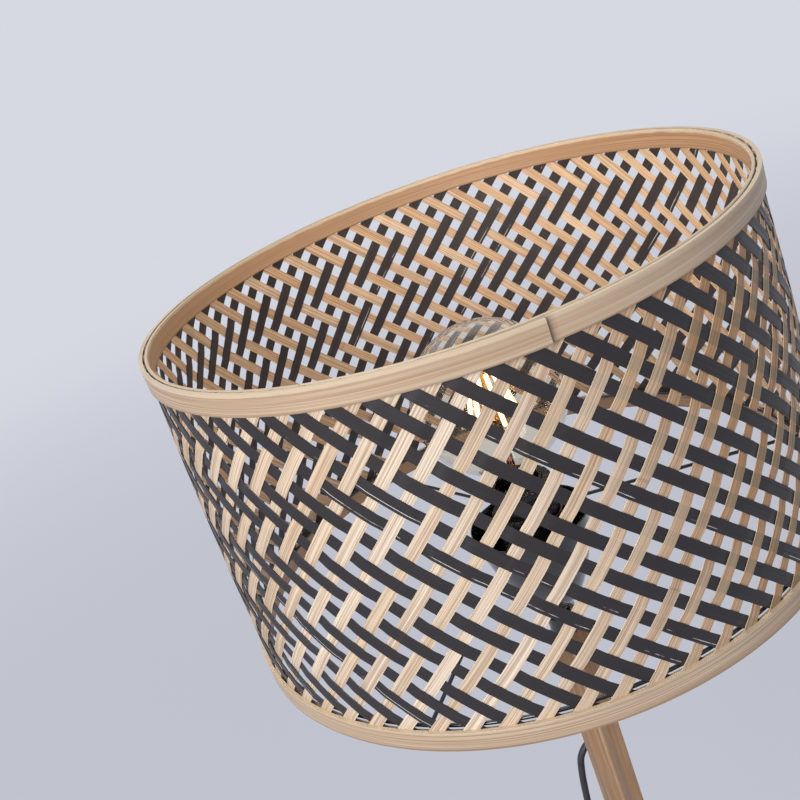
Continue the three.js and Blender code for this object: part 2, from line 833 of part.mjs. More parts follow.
// Strips that lean one way round the wall, all joined by a thin band in the top hoop's pocket.
// Each strip is a run of level sections, so that both ways keep the same shape and never meet.
class StripWay {
  constructor(layer, width, turn, sweep) {
    this.layer = layer;
    this.width = width;
    this.turn = turn;
    this.sweep = sweep;
    this.low = shadeBottom + bottomHoopHeight - stripTuck;
    this.high = shadeTop - topHoopHeight;
    this.points = [];
    this.faces = [];
  }

  // Outer radius at a share of the wall's height, with a slight belly
  radiusAt(share) {
    const bottomRadius = bottomLayers[this.layer];
    const topRadius = topLayers[this.layer];
    return bottomRadius + (topRadius - bottomRadius) * share + wallBulge * 4 * share * (1 - share);
  }

  bearingAt(strip, share) {
    return this.turn + (strip * 2 * Math.PI) / stripsPerWay + this.sweep * share;
  }

  // Adds a point outside and one inside it, and returns the index of the first
  pair(radius, bearing, height) {
    const index = this.points.length;
    for (const reach of [radius, radius - stripThickness]) {
      this.points.push(new THREE.Vector3(reach * Math.cos(bearing), reach * Math.sin(bearing), height));
    }
    return index;
  }

  // Left and right pairs of a strip at one level
  section(strip, share) {
    const radius = this.radiusAt(share);
    const height = this.low + (this.high - this.low) * share;
    const lean = Math.atan((radius * this.sweep) / (this.high - this.low));
    const half = this.width / 2 / Math.cos(lean) / radius;
    const middle = this.bearingAt(strip, share);
    return [this.pair(radius, middle - half, height), this.pair(radius, middle + half, height)];
  }

  // Four corners seen anticlockwise from where the face looks, cut from the second to the fourth
  quad(a, b, c, d) {
    this.faces.push(a, b, d, b, c, d);
  }

  addStrip(strip) {
    let [left, right] = this.section(strip, 0);
    this.quad(right, left, left + 1, right + 1);
    for (let i = 1; i <= stripSteps; i += 1) {
      const [nextLeft, nextRight] = this.section(strip, i / stripSteps);
      this.quad(left, right, nextRight, nextLeft);
      this.quad(nextRight + 1, right + 1, left + 1, nextLeft + 1);
      this.quad(nextRight, right, right + 1, nextRight + 1);
      this.quad(left, nextLeft, nextLeft + 1, left + 1);
      [left, right] = [nextLeft, nextRight];
    }
    return [left, right];
  }

  addBand(ends) {
    const rim = ends.map((_, k) => this.pair(this.radiusAt(1), this.bearingAt(k, 1), shadeTop - stripBandTuck));
    ends.forEach(([left, right], k) => {
      const next = (k + 1) % ends.length;
      const nextLeft = ends[next][0];
      this.faces.push(left, right, rim[k], right + 1, left + 1, rim[k] + 1);
      this.quad(right, nextLeft, rim[next], rim[k]);
      this.quad(rim[next] + 1, nextLeft + 1, right + 1, rim[k] + 1);
      this.quad(nextLeft, right, right + 1, nextLeft + 1);
      this.quad(rim[k], rim[next], rim[next] + 1, rim[k] + 1);
    });
  }

  geometry() {
    this.addBand(Array.from({ length: stripsPerWay }, (_, k) => this.addStrip(k)));
    const geometry = new THREE.BufferGeometry().setFromPoints(this.points);
    geometry.setIndex(this.faces);
    geometry.computeVertexNormals();
    return geometry;
  }
}

function addWeave() {
  const natural = new StripWay("naturalOut", naturalStripWidth, naturalStripTurn, naturalStripSweep);
  addPiece("weave_natural", natural.geometry(), bambooPale);
  const black = new StripWay("blackOut", blackStripWidth, blackStripTurn, blackStripSweep);
  addPiece("weave_black", black.geometry(), bambooBlack);
}

// Bulb
function globeProfile(radius, top, foot) {
  const joinTurn = Math.asin((bulbNeckRadius + (radius - globeRadius)) / radius);
  const points = [];
  const steps = globeRows;
  for (let i = 0; i <= steps; i += 1) {
    const turn = (Math.PI - joinTurn) * (i / steps);
    points.push([radius * Math.sin(turn), globeHeight + radius * Math.cos(turn)]);
  }
  points[0] = [0, top];
  points.push([foot, bulbCapTop + bulbCapLip]);
  points.push([foot, bulbCapTop - bulbCapLip]);
  return points;
}

function addGlobe() {
  const outside = globeProfile(globeRadius, globeHeight + globeRadius, bulbCollarRadius);
  const innerRadius = globeRadius - globeWall;
  const inside = globeProfile(innerRadius, globeHeight + innerRadius, bulbCollarRadius - globeWall);
  const bottom = bulbCapTop - bulbCapLip;
  outside[outside.length - 1][1] = bottom;
  inside[inside.length - 1][1] = bottom;
  addPiece("bulb_globe", turned([...outside, ...inside.reverse()], roundFacets), clearGlass);
}

function addBulbCap() {
  const bore = bulbCollarRadius + seatGap;
  const threadStart = bulbCapBottom + bulbCapLip;
  const cap = turned([
    [0, bulbCapBottom],
    [bulbTipRadius + bulbCapWall, bulbCapBottom],
    ...threadedProfile(bulbCapRadius, bulbThreadRise, bulbThreadPitch, threadStart, bulbThreads),
    [bore + bulbCapWall, bulbCapTop],
    [bore, bulbCapTop],
    [bore, bulbCapTop - bulbCapLip - seatGap],
    [stemRadius, bulbCapTop - bulbCapLip - seatGap],
    [0, bulbCapTop - bulbCapLip - seatGap],
  ]);
  addPiece("bulb_cap", cap, steel);
  const tip = turned([
    [0, bulbTip],
    [bulbTipRadius / 2, bulbTip],
    [bulbTipRadius, bulbCapBottom - seatGap],
    [0, bulbCapBottom - seatGap],
  ], smallFacets);
  addPiece("bulb_tip", tip, brass);
}

function addBulbInside() {
  const foot = bulbCapTop - bulbCapLip + seatGap / 2;
  const stemTop = globeHeight - filamentLength / 2;
  const stem = turned([
    [0, foot],
    [stemFlareRadius, foot],
    [stemFlareRadius, foot + seatGap],
    [stemRadius, foot + stemFlareHeight],
    [stemRadius, stemTop],
    [0, stemTop],
  ], smallFacets);
  addPiece("bulb_stem", stem, clearGlass);
  const low = stemTop + seatGap;
  const high = globeHeight + filamentLength / 2;
  const pieces = [
    rod(filamentHubRadius, low, low + filamentHubHeight, smallFacets),
    rod(filamentWireRadius * 2, low + seatGap, high + filamentHubHeight / 2, smallFacets),
    rod(filamentHubRadius, high, high + filamentHubHeight, smallFacets),
  ];
  const lowMiddle = low + filamentHubHeight / 2;
  const highMiddle = high + filamentHubHeight / 2;
  for (let i = 0; i < filamentCount; i += 1) {
    const turn = (i * 2 * Math.PI) / filamentCount;
    const foot = [filamentFootRadius, 0, lowMiddle];
    const top = [filamentTopRadius, 0, highMiddle];
    pieces.push(straightRod([0, 0, lowMiddle], foot, filamentWireRadius, wireSides).rotateZ(turn));
    pieces.push(straightRod([0, 0, highMiddle], top, filamentWireRadius, wireSides).rotateZ(turn));
    const lengthen = filamentRadius;
    const lowEnd = [filamentFootRadius - filamentRadius, 0, lowMiddle - lengthen];
    const highEnd = [filamentTopRadius - filamentRadius, 0, highMiddle + lengthen];
    pieces.push(straightRod(lowEnd, highEnd, filamentRadius, wireSides).rotateZ(turn));
  }
  addPiece("bulb_filaments", joined(...pieces), amberGlow);
}

// Cord and what is on it
function addRelief() {
  const top = collarBottom + lugDrop + reliefTuck;
  const neck = collarBottom + lugDrop;
  const tuckRadius = reliefTopRadius - seatGap;
  const relief = turned([
    [0, reliefBottom],
    [reliefEndRadius, reliefBottom],
    [reliefTopRadius, neck - seatGap],
    [tuckRadius, neck - seatGap],
    [tuckRadius, top],
    [0, top],
  ], smallFacets);
  addPiece("cord_relief", relief.translate(lugReachX, lugReachY, 0), blackRubber);
}

function addCordRun() {
  const end = [switchX, switchY - switchRadius - switchReliefLength - seatGap, switchCordHeight];
  const start = [lugReachX, lugReachY, reliefBottom - seatGap];
  const route = smoothCurve([start, ...cordRunRoute, end]);
  addPiece("cord_run", sweep(route, cordRadius, cordRunSteps, cordSides), blackRubber);
}

const coilBottomHeight = cordRadius + coilLift;

// Centre line of the coil: in to the middle, a layer up, and out again
function coilPoint(share) {
  const half = coilTurns / 2;
  const turns = share * coilTurns;
  const inward = half - Math.abs(turns - half);
  const radius = coilMiddleRadius + (half * coilPitch) / 2 - inward * coilPitch;
  const climb = THREE.MathUtils.clamp((turns - half) * 2 + 0.5, 0, 1);
  const height = coilBottomHeight + coilPitch * climb * climb * (3 - 2 * climb);
  const bearing = Math.PI + turns * 2 * Math.PI;
  return new THREE.Vector3(
    coilCentreX + radius * Math.cos(bearing),
    coilCentreY + radius * Math.sin(bearing),
    height,
  );
}

function coilCentreLine() {
  const steps = Math.round(coilTurns * coilStepsPerTurn);
  const points = [];
  for (let i = 0; i <= steps; i += 1) points.push(coilPoint(i / steps));
  return points;
}

// The least distance between stretches that lie more than half a turn apart, less the diameter
function leastSelfGap(points) {
  const apart = coilStepsPerTurn / 2;
  let least = Infinity;
  points.forEach((point, i) => {
    for (let j = i + apart; j < points.length; j += 1) {
      least = Math.min(least, point.distanceTo(points[j]));
    }
  });
  return least - 2 * cordRadius;
}

class CentreLine extends THREE.Curve {
  constructor(points) {
    super();
    this.points = points;
  }

  getPoint(share, target = new THREE.Vector3()) {
    const place = share * (this.points.length - 1);
    const index = Math.min(Math.floor(place), this.points.length - 2);
    return target.lerpVectors(this.points[index], this.points[index + 1], place - index);
  }

  getPointAt(share, target) {
    return this.getPoint(share, target);
  }

  getTangentAt(share, target = new THREE.Vector3()) {
    const step = 1 / (this.points.length - 1);
    const before = this.getPoint(Math.max(share - step, 0));
    const after = this.getPoint(Math.min(share + step, 1));
    return target.subVectors(after, before).normalize();
  }
}

// Rings of a tube, stood upright so that the sections don't twist, and its two end caps
function uprightTube(points, radius, sides) {
  const line = new CentreLine(points);
  const last = points.length - 1;
  const positions = [];
  const indices = [];
  const up = new THREE.Vector3(0, 0, 1);
  points.forEach((point, i) => {
    const along = line.getTangentAt(i / last);
    const side = new THREE.Vector3().crossVectors(along, up).normalize();
    const rise = new THREE.Vector3().crossVectors(side, along);
    for (let k = 0; k < sides; k += 1) {
      const turn = (k * 2 * Math.PI) / sides;
      const corner = point.clone().addScaledVector(side, radius * Math.cos(turn));
      corner.addScaledVector(rise, radius * Math.sin(turn));
      positions.push(corner.x, corner.y, corner.z);
    }
  });
  for (let i = 0; i < last; i += 1) {
    for (let k = 0; k < sides; k += 1) {
      const next = (k + 1) % sides;
      const a = i * sides + k;
      const b = i * sides + next;
      const c = a + sides;
      const d = b + sides;
      indices.push(a, c, b, b, c, d);
    }
  }
  for (let k = 1; k < sides - 1; k += 1) {
    const end = last * sides;
    indices.push(0, k, k + 1, end, end + k + 1, end + k);
  }
  const geometry = new THREE.BufferGeometry();
  geometry.setAttribute("position", new THREE.Float32BufferAttribute(positions, 3));
  geometry.setIndex(indices);
  geometry.computeVertexNormals();
  return geometry;
}

function coilWithEnds() {
  const wound = coilCentreLine();
  const before = new THREE.Vector3(0, 1, 0);
  const length = 2 * cordRadius;
  const first = wound[0].clone().addScaledVector(before, length);
  const final = wound[wound.length - 1].clone().addScaledVector(before, length);
  return { wound, first, final, points: [first, ...wound, final] };
}

function addCoil() {
  const coil = coilWithEnds();
  console.log(`least gap of the coil to itself: ${leastSelfGap(coil.wound).toFixed(2)} mm`);
  addPiece("cord_coil", uprightTube(coil.points, cordRadius, coilSides), blackRubber);
  const linkStart = [switchX, switchY + switchRadius + switchReliefLength + seatGap, switchCordHeight];
  const linkEnd = [coil.first.x, coil.first.y + seatGap, coil.first.z];
  const link = smoothCurve([linkStart, ...cordLinkRoute, linkEnd]);
  addPiece("cord_link", sweep(link, cordRadius, cordLinkSteps, cordSides), blackRubber);
  const tailStart = [coil.final.x, coil.final.y + seatGap, coil.final.z];
  const tailEnd = [plugX, plugReliefStart - seatGap, plugBodyThickness / 2];
  const leave = [tailStart[0], tailStart[1] + 2 * cordRadius, tailStart[2]];
  const arrive = [tailEnd[0], tailEnd[1] - 2 * cordRadius, tailEnd[2]];
  const tail = smoothCurve([tailStart, leave, arrive, tailEnd]);
  addPiece("cord_tail", sweep(tail, cordRadius, cordEndSteps, cordSides), blackRubber);
}

function addTie() {
  const bundleInner = coilMiddleRadius - (coilTurns / 4) * coilPitch - cordRadius - tieSlack;
  const bundleOuter = coilMiddleRadius + (coilTurns / 4) * coilPitch + cordRadius + tieSlack;
  const bundleTop = coilBottomHeight + coilPitch + cordRadius + tieSlack;
  const bundleBottom = coilBottomHeight - cordRadius - seatGap;
  const width = bundleOuter - bundleInner;
  const height = bundleTop - bundleBottom;
  const outer = roundedRectangle(width + 2 * tieThickness, height + 2 * tieThickness, cordRadius);
  const inner = roundedRectangle(width, height, cordRadius - tieThickness);
  outer.holes.push(new THREE.Path(inner.getPoints(3).reverse()));
  const strap = prism(outer, -tieWidth / 2, tieWidth / 2, 3).rotateX(Math.PI / 2);
  strap.translate((bundleInner + bundleOuter) / 2, 0, (bundleTop + bundleBottom) / 2);
  addPiece("coil_tie", strap.rotateZ(tieTurn).translate(coilCentreX, coilCentreY, 0), blackPlastic);
}

// Foot switch
function switchCordHoles() {
  const reach = switchRadius + cutOverrun;
  const deep = switchRadius - switchReliefTuck - 2 * switchWall;
  return [1, -1].map((side) =>
    straightRod(
      [0, side * deep, switchCordHeight],
      [0, side * reach, switchCordHeight],
      switchReliefRadius + seatGap,
      turnedFacets / 2,
    ),
  );
}

function switchRelief(side) {
  const inner = switchRadius - switchReliefTuck;
  const outer = switchRadius + switchReliefLength;
  const taper = turned([
    [0, inner],
    [switchReliefRadius, inner],
    [switchReliefRadius, switchRadius + switchReliefTuck],
    [reliefEndRadius, outer],
    [0, outer],
  ], smallFacets);
  return taper.rotateX(-side * Math.PI / 2).translate(0, 0, switchCordHeight);
}

function addSwitch() {
  const group = new THREE.Group();
  group.position.set(switchX, switchY, 0);
  lamp.add(group);
  const innerRadius = switchRadius - switchWall;
  const floorTop = switchWall + seatGap;
  const screwLand = switchWall + switchScrewHeight;
  const base = turned([
    [0, 0],
    [switchRadius, 0],
    [switchRadius, switchBaseHeight],
    [innerRadius, switchBaseHeight],
    [innerRadius, screwLand],
    [0, screwLand],
  ]);
  const screwTurns = [Math.PI / 4, Math.PI * 1.25];
  const screwHoles = screwTurns.map((turn) => {
    const hole = rod(switchScrewRadius + seatGap, -cutOverrun, switchScrewHeight + seatGap);
    return hole.translate(switchScrewReach * Math.cos(turn), switchScrewReach * Math.sin(turn), 0);
  });
  addPiece("switch_base", cut(base, ...switchCordHoles(), ...screwHoles), blackPlastic, group);
  screwTurns.forEach((turn, i) => {
    const screw = rod(switchScrewRadius, seatGap, switchScrewHeight);
    screw.translate(switchScrewReach * Math.cos(turn), switchScrewReach * Math.sin(turn), 0);
    addPiece(`switch_screw_${i + 1}`, screw, steel, group);
  });
  const coverBottom = switchBaseHeight + seatGap;
  const coverTop = coverBottom + switchCoverHeight;
  const holeRadius = buttonRadius + buttonFit;
  const cover = turned([
    [innerRadius, coverBottom],
    [switchRadius, coverBottom],
    [switchRadius, coverTop - switchEdge],
    [switchRadius - switchEdge, coverTop - switchEdge / 4],
    [switchRadius - 2 * switchEdge, coverTop],
    [holeRadius, coverTop],
    [holeRadius, coverTop - switchWall],
    [switchRadius - 2 * switchEdge, coverTop - switchWall],
    [innerRadius, coverTop - switchEdge - switchWall],
  ]);
  addPiece("switch_cover", cut(cover, ...switchCordHoles()), blackPlastic, group);
  const skirtTop = coverTop - switchWall - seatGap;
  const buttonBottom = skirtTop - buttonSkirtHeight;
  const button = turned([
    [0, buttonBottom],
    [buttonSkirtRadius, buttonBottom],
    [buttonSkirtRadius, skirtTop],
    [buttonRadius, skirtTop],
    [buttonRadius, coverTop + buttonShow - buttonEdge],
    [buttonRadius - buttonEdge, coverTop + buttonShow],
    [0, coverTop + buttonShow],
  ]);
  addPiece("switch_button", button, blackPlastic, group);
  const springFoot = screwLand + seatGap + switchSpringWire;
  const springHead = buttonBottom - seatGap - switchSpringWire;
  const springSteps = switchSpringTurns * switchSpringSteps;
  const springPoints = Array.from({ length: springSteps + 1 }, (_, i) => {
    const share = i / springSteps;
    const turn = share * switchSpringTurns * 2 * Math.PI;
    const place = polar(switchSpringRadius, turn);
    return new THREE.Vector3(place.x, place.y, springFoot + share * (springHead - springFoot));
  });
  addPiece("switch_spring", uprightTube(springPoints, switchSpringWire, switchSpringSides), steel, group);
  addPiece("switch_relief_in", switchRelief(-1), blackRubber, group);
  addPiece("switch_relief_out", switchRelief(1), blackRubber, group);
}

// Plug
function addPlug() {
  const middle = plugBodyThickness / 2;
  const bodyStart = plugReliefStart + plugReliefLength;
  const bodyEnd = bodyStart + plugBodyLength;
  const half = plugBodyWidth / 2;
  const endHalf = plugEndWidth / 2;
  const shape = new THREE.Shape();
  shape.moveTo(-endHalf, 0);
  shape.lineTo(endHalf, 0);
  shape.quadraticCurveTo(half, plugCornerRadius, half, plugBodyLength / 2);
  shape.lineTo(half, plugBodyLength);
  shape.lineTo(-half, plugBodyLength);
  shape.lineTo(-half, plugBodyLength / 2);
  shape.quadraticCurveTo(-half, plugCornerRadius, -endHalf, 0);
  const options = {
    depth: plugBodyThickness - 2 * plugBevel,
    bevelThickness: plugBevel,
    bevelSize: plugBevel,
    bevelOffset: -plugBevel,
    bevelSegments: 1,
    curveSegments: 5,
  };
  const body = new THREE.ExtrudeGeometry(shape, options).translate(plugX, bodyStart, plugBevel);
  const pins = [-1, 1].map((side) => plugX + (side * pinSpacing) / 2);
  const holes = pins.map((x) => {
    const deep = [x, bodyEnd - pinTuck, middle];
    const open = [x, bodyEnd + cutOverrun, middle];
    return straightRod(deep, open, pinRadius + seatGap, smallFacets);
  });
  addPiece("plug_body", cut(body, ...holes), blackPlastic);
  pins.forEach((x, i) => {
    const start = bodyEnd - pinTuck + seatGap;
    const pin = straightRod([x, start, middle], [x, bodyEnd + pinLength, middle], pinRadius, smallFacets);
    addPiece(`plug_pin_${i + 1}`, pin, brass);
  });
  const relief = turned([
    [0, plugReliefStart],
    [reliefEndRadius, plugReliefStart],
    [reliefTopRadius, bodyStart - seatGap],
    [0, bodyStart - seatGap],
  ], smallFacets);
  addPiece("plug_relief", relief.rotateX(-Math.PI / 2).translate(plugX, 0, middle), blackRubber);
}

addBase();
addBaseBolt();
addPole();
addCollar();
addNeck();
addBowl();
addHolderShell();
addHolderCap();
addHolderInside();
addClampRings();
addLead();
addShadeFrame();
addHoops();
addWeave();
addGlobe();
addBulbCap();
addBulbInside();
addRelief();
addCordRun();
addCoil();
addTie();
addSwitch();
addPlug();

export default lamp;
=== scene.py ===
"""Looks of a floor lamp: a drum shade woven from natural and black bamboo strips on a square bamboo pole.

Lengths are in metres. The origin is on the floor under the middle of the pole, and +Z is up.
"""

import logging
import math
from dataclasses import dataclass
from enum import Enum
from typing import Callable, Sequence

import bmesh
import bpy
from mathutils import Matrix, Vector


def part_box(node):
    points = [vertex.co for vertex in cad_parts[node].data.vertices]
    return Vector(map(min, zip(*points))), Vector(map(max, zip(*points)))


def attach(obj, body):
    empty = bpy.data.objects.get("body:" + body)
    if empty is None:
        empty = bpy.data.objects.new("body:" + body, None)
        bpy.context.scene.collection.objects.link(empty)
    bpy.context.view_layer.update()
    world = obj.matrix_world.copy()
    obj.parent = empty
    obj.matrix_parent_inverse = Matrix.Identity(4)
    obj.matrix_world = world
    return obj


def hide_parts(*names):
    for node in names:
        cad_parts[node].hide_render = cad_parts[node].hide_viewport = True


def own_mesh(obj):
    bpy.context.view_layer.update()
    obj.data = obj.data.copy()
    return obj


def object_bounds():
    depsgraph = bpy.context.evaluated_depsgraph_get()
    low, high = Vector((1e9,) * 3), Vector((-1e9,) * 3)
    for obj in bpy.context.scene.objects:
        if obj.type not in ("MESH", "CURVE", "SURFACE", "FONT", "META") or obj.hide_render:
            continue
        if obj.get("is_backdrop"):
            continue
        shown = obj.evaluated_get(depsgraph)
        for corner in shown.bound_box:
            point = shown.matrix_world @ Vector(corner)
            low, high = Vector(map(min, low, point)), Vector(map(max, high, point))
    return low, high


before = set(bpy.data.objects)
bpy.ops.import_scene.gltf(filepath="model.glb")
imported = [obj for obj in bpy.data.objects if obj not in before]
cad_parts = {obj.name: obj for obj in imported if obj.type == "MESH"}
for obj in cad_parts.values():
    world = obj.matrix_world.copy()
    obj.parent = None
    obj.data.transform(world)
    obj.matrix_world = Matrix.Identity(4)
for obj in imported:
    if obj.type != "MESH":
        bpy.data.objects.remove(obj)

LOG = logging.getLogger("floor_lamp")
MM = 0.001
GAP = 0.3 * MM

Profile = Sequence[tuple[float, float]]
Point = tuple[float, float, float]
Colour = tuple[int, int, int]
Tint = tuple[float, float, float, float]
Mesh = bmesh.types.BMesh
Socket = bpy.types.NodeSocket

# Metres of strip to a metre of height, as the strips' map counts them.
STRIP_RUN = 1.39
# What the map of an inner side is moved by, on a strip and on a hoop: it tells a finish the sides apart.
STRIP_INNER_MAP = 128.0
HOOP_INNER_MAP = 0.05
# Where a lapped hoop's map meets the square end of its lap, in metres.
LAP_RUN = 2.0


class Body(Enum):
    """The moving bodies of the lamp."""

    LAMP = "lamp"
    BULB = "bulb"
    BUTTON = "button"


class Slot(Enum):
    """Material slot names that the pieces are given; publish does not use them."""

    NATURAL = "bamboo_natural"
    BLACK = "bamboo_black"
    BROWN = "bamboo_brown"
    GLOSS = "black_gloss"
    WIRE = "black_wire"
    STEEL = "steel"
    BRASS = "brass"
    GLASS = "clear_glass"
    FILAMENT = "filament"
    RUBBER = "pad_rubber"
    CORD = "cord_black"
    PLASTIC = "switch_plastic"


# ---------------------------------------------------------------- heights


@dataclass(frozen=True)
class Levels:
    """Heights and radii that several pieces of the lamp share."""

    collar_bottom: float = 1142.9 * MM
    collar_top: float = 1160.9 * MM
    flange_bottom: float = 1167.9 * MM
    bowl_bottom: float = 1172.2 * MM
    bowl_rim: float = 1256.2 * MM
    hub: float = 1260.2 * MM
    ring: float = 1244.2 * MM
    shade_bottom: float = 1229.0 * MM
    shade_top: float = 1500.0 * MM
    holder_bottom: float = 1238.2 * MM
    holder_top: float = 1291.2 * MM
    globe: float = 1368.7 * MM


LEVELS = Levels()


# ---------------------------------------------------------------- node graphs


class Graph:
    """A small helper that adds nodes to one material or node group and links them."""

    def __init__(self, tree: bpy.types.NodeTree) -> None:
        """Keeps the tree that the nodes go into."""
        self.tree = tree
        self.count = 0

    def node(self, kind: str, **settings: object) -> bpy.types.Node:
        """Adds a node and sets its properties.

        Args:
            kind: The node's type name.
            settings: Property names and values.

        Returns:
            The new node.
        """
        made = self.tree.nodes.new(kind)
        made.location = (200 * (self.count % 8), -220 * (self.count // 8))
        self.count += 1
        for name, value in settings.items():
            setattr(made, name, value)
        return made

    def feed(self, socket: Socket, value: object) -> None:
        """Links a socket to another node's output, or sets its own value.

        Args:
            socket: The input.
            value: The output to link, or the plain value.
        """
        if isinstance(value, Socket):
            self.tree.links.new(value, socket)
        else:
            socket.default_value = value

    def wired(self, kind: str, given: dict[object, object], **settings: object) -> bpy.types.Node:
        """Adds a node and feeds its inputs.

        Args:
            kind: The node's type name.
            given: What each input gets, by the input's name or number.
            settings: Property names and values.

        Returns:
            The new node.
        """
        made = self.node(kind, **settings)
        for name, value in given.items():
            self.feed(made.inputs[name], value)
        return made

    def math(self, operation: str, first: object, second: object = 0.0) -> Socket:
        """Works out a value from two others."""
        return self.wired("ShaderNodeMath", {0: first, 1: second}, operation=operation).outputs[0]

    def times(self, first: object, second: object) -> Socket:
        """Multiplies two values."""
        return self.math("MULTIPLY", first, second)

    def plus(self, first: object, second: object) -> Socket:
        """Adds two values."""
        return self.math("ADD", first, second)

    def off(self, value: object, centre: object) -> Socket:
        """Gives how far a value is from a centre."""
        return self.math("ABSOLUTE", self.math("SUBTRACT", value, centre))

    def clamp_range(
        self, value: object, low: float, high: float, to_low: float = 0.0, to_high: float = 1.0
    ) -> Socket:
        """Maps a value from the range of low to high onto that of to_low to to_high, clamped."""
        given = dict(enumerate((value, low, high, to_low, to_high)))
        return self.wired("ShaderNodeMapRange", given).outputs[0]

    def mix(self, share: object, first: object, second: object) -> Socket:
        """Mixes two colours by a share."""
        return self.wired("ShaderNodeMix", {0: share, 6: first, 7: second}, data_type="RGBA").outputs[2]

    def noise(self, vector: object, scale: float, detail: float = 3.0, rough: float = 0.5) -> Socket:
        """Adds a noise texture and returns its value."""
        given = {"Vector": vector, "Scale": scale, "Detail": detail, "Roughness": rough}
        return self.wired("ShaderNodeTexNoise", given).outputs["Fac"]

    def vector(self, x: object, y: object, z: object) -> Socket:
        """Joins three values to a vector."""
        return self.wired("ShaderNodeCombineXYZ", {0: x, 1: y, 2: z}).outputs[0]

    def parts(self, vector: object) -> tuple[Socket, ...]:
        """Splits a vector into its three values."""
        return tuple(self.wired("ShaderNodeSeparateXYZ", {0: vector}).outputs)

    def group(self, tree: bpy.types.NodeTree, **inputs: object) -> bpy.types.bpy_prop_collection:
        """Places a shared group with its own values and returns its outputs."""
        return self.wired("ShaderNodeGroup", inputs, node_tree=tree).outputs

    def strip_map(self) -> Socket:
        """Gives the map of a bent strip: its run, and what lies across it."""
        return self.node("ShaderNodeUVMap", uv_map="strip").outputs[0]

    def spot(self) -> Socket:
        """Gives the Object coordinates."""
        return self.node("ShaderNodeTexCoord").outputs["Object"]

    def chance(self, seed: object) -> Socket:
        """Gives a chance value from 0 to 1 for each value of the seed."""
        return self.wired("ShaderNodeTexWhiteNoise", {"W": seed}, noise_dimensions="1D").outputs["Value"]

    def bump(self, height: object, strength: float, distance: float) -> Socket:
        """Adds a bump and returns its normal."""
        given = {"Strength": strength, "Distance": distance, "Height": height}
        return self.wired("ShaderNodeBump", given).outputs["Normal"]


def shader_group(
    name: str, inputs: Sequence[tuple[str, str, object]], outputs: Sequence[tuple[str, str]]
) -> tuple[bpy.types.NodeTree, Graph, bpy.types.Node, bpy.types.Node]:
    """Starts a shader node group.

    Args:
        name: The group's name.
        inputs: Name, socket type and default of each input.
        outputs: Name and socket type of each output.

    Returns:
        The group, a graph for its nodes, its input node and its output node.
    """
    group = bpy.data.node_groups.new(name, "ShaderNodeTree")
    for label, kind, default in inputs:
        socket = group.interface.new_socket(label, in_out="INPUT", socket_type=kind)
        if default is not None:
            socket.default_value = default
    for label, kind in outputs:
        group.interface.new_socket(label, in_out="OUTPUT", socket_type=kind)
    graph = Graph(group)
    return group, graph, graph.node("NodeGroupInput"), graph.node("NodeGroupOutput")


class Effects:
    """The effects that several finishes share, each a node group made once."""

    def __init__(self) -> None:
        """Builds every shared group."""
        self.fibre = self._fibre()
        self.mottle = self._mottle()

    def _fibre(self) -> bpy.types.NodeTree:
        """Draws long bamboo fibres: soft bands, fine lines and short dark bundles along the first axis.

        Returns:
            The group.
        """
        group, g, given, out = shader_group(
            "bamboo_fibre",
            [
                ("Vector", "NodeSocketVector", None),
                ("Lines", "NodeSocketFloat", 900.0),
                ("Stretch", "NodeSocketFloat", 0.02),
            ],
            [("Tone", "NodeSocketFloat"), ("Line", "NodeSocketFloat"), ("Bundle", "NodeSocketFloat")],
        )
        along, across, depth = g.parts(given.outputs["Vector"])
        lines, stretch = given.outputs["Lines"], given.outputs["Stretch"]
        fine_along = g.times(along, g.times(lines, stretch))
        fine_across = g.times(across, lines)
        fine_depth = g.times(depth, lines)
        fine = g.noise(g.vector(fine_along, fine_across, fine_depth), 1.0, 2.0, 0.55)
        broad = g.vector(g.times(fine_along, 0.5), g.times(fine_across, 0.22), g.times(fine_depth, 0.22))
        wide = g.noise(broad, 1.0, 2.0)
        short = g.vector(g.times(fine_along, 2.5), g.plus(g.times(fine_across, 1.4), 7.0), fine_depth)
        dash = g.noise(short, 1.0, 1.0)
        g.feed(out.inputs["Tone"], g.clamp_range(wide, 0.32, 0.68))
        g.feed(out.inputs["Line"], g.clamp_range(fine, 0.4, 0.62))
        g.feed(out.inputs["Bundle"], g.clamp_range(dash, 0.64, 0.72))
        return group

    def _mottle(self) -> bpy.types.NodeTree:
        """Draws the uneven gloss and the very slight ripple of a painted or moulded surface.

        Returns:
            The group.
        """
        group, g, given, out = shader_group(
            "surface_mottle",
            [("Vector", "NodeSocketVector", None), ("Size", "NodeSocketFloat", 60.0)],
            [("Patch", "NodeSocketFloat"), ("Grit", "NodeSocketFloat")],
        )
        size = given.outputs["Size"]
        patch = g.noise(given.outputs["Vector"], size, 4.0, 0.6)
        grit = g.noise(given.outputs["Vector"], g.times(size, 30.0), 2.0, 0.5)
        g.feed(out.inputs["Patch"], g.clamp_range(patch, 0.3, 0.7))
        g.feed(out.inputs["Grit"], grit)
        return group


# ---------------------------------------------------------------- finishes


def new_material(name: str) -> tuple[bpy.types.Material, Graph, bpy.types.Node]:
    """Starts a material with a Principled shader.

    Args:
        name: The material's name.

    Returns:
        The material, a graph for its nodes and the shader.
    """
    material = bpy.data.materials.new(name)
    material.use_nodes = True
    tree = material.node_tree
    tree.nodes.clear()
    graph = Graph(tree)
    shader = graph.node("ShaderNodeBsdfPrincipled")
    output = graph.node("ShaderNodeOutputMaterial")
    tree.links.new(shader.outputs[0], output.inputs["Surface"])
    return material, graph, shader


def settle(shader: bpy.types.Node, values: dict[str, object]) -> None:
    """Sets a shader's own sockets, each the same all over the surface."""
    for name, value in values.items():
        shader.inputs[name].default_value = value


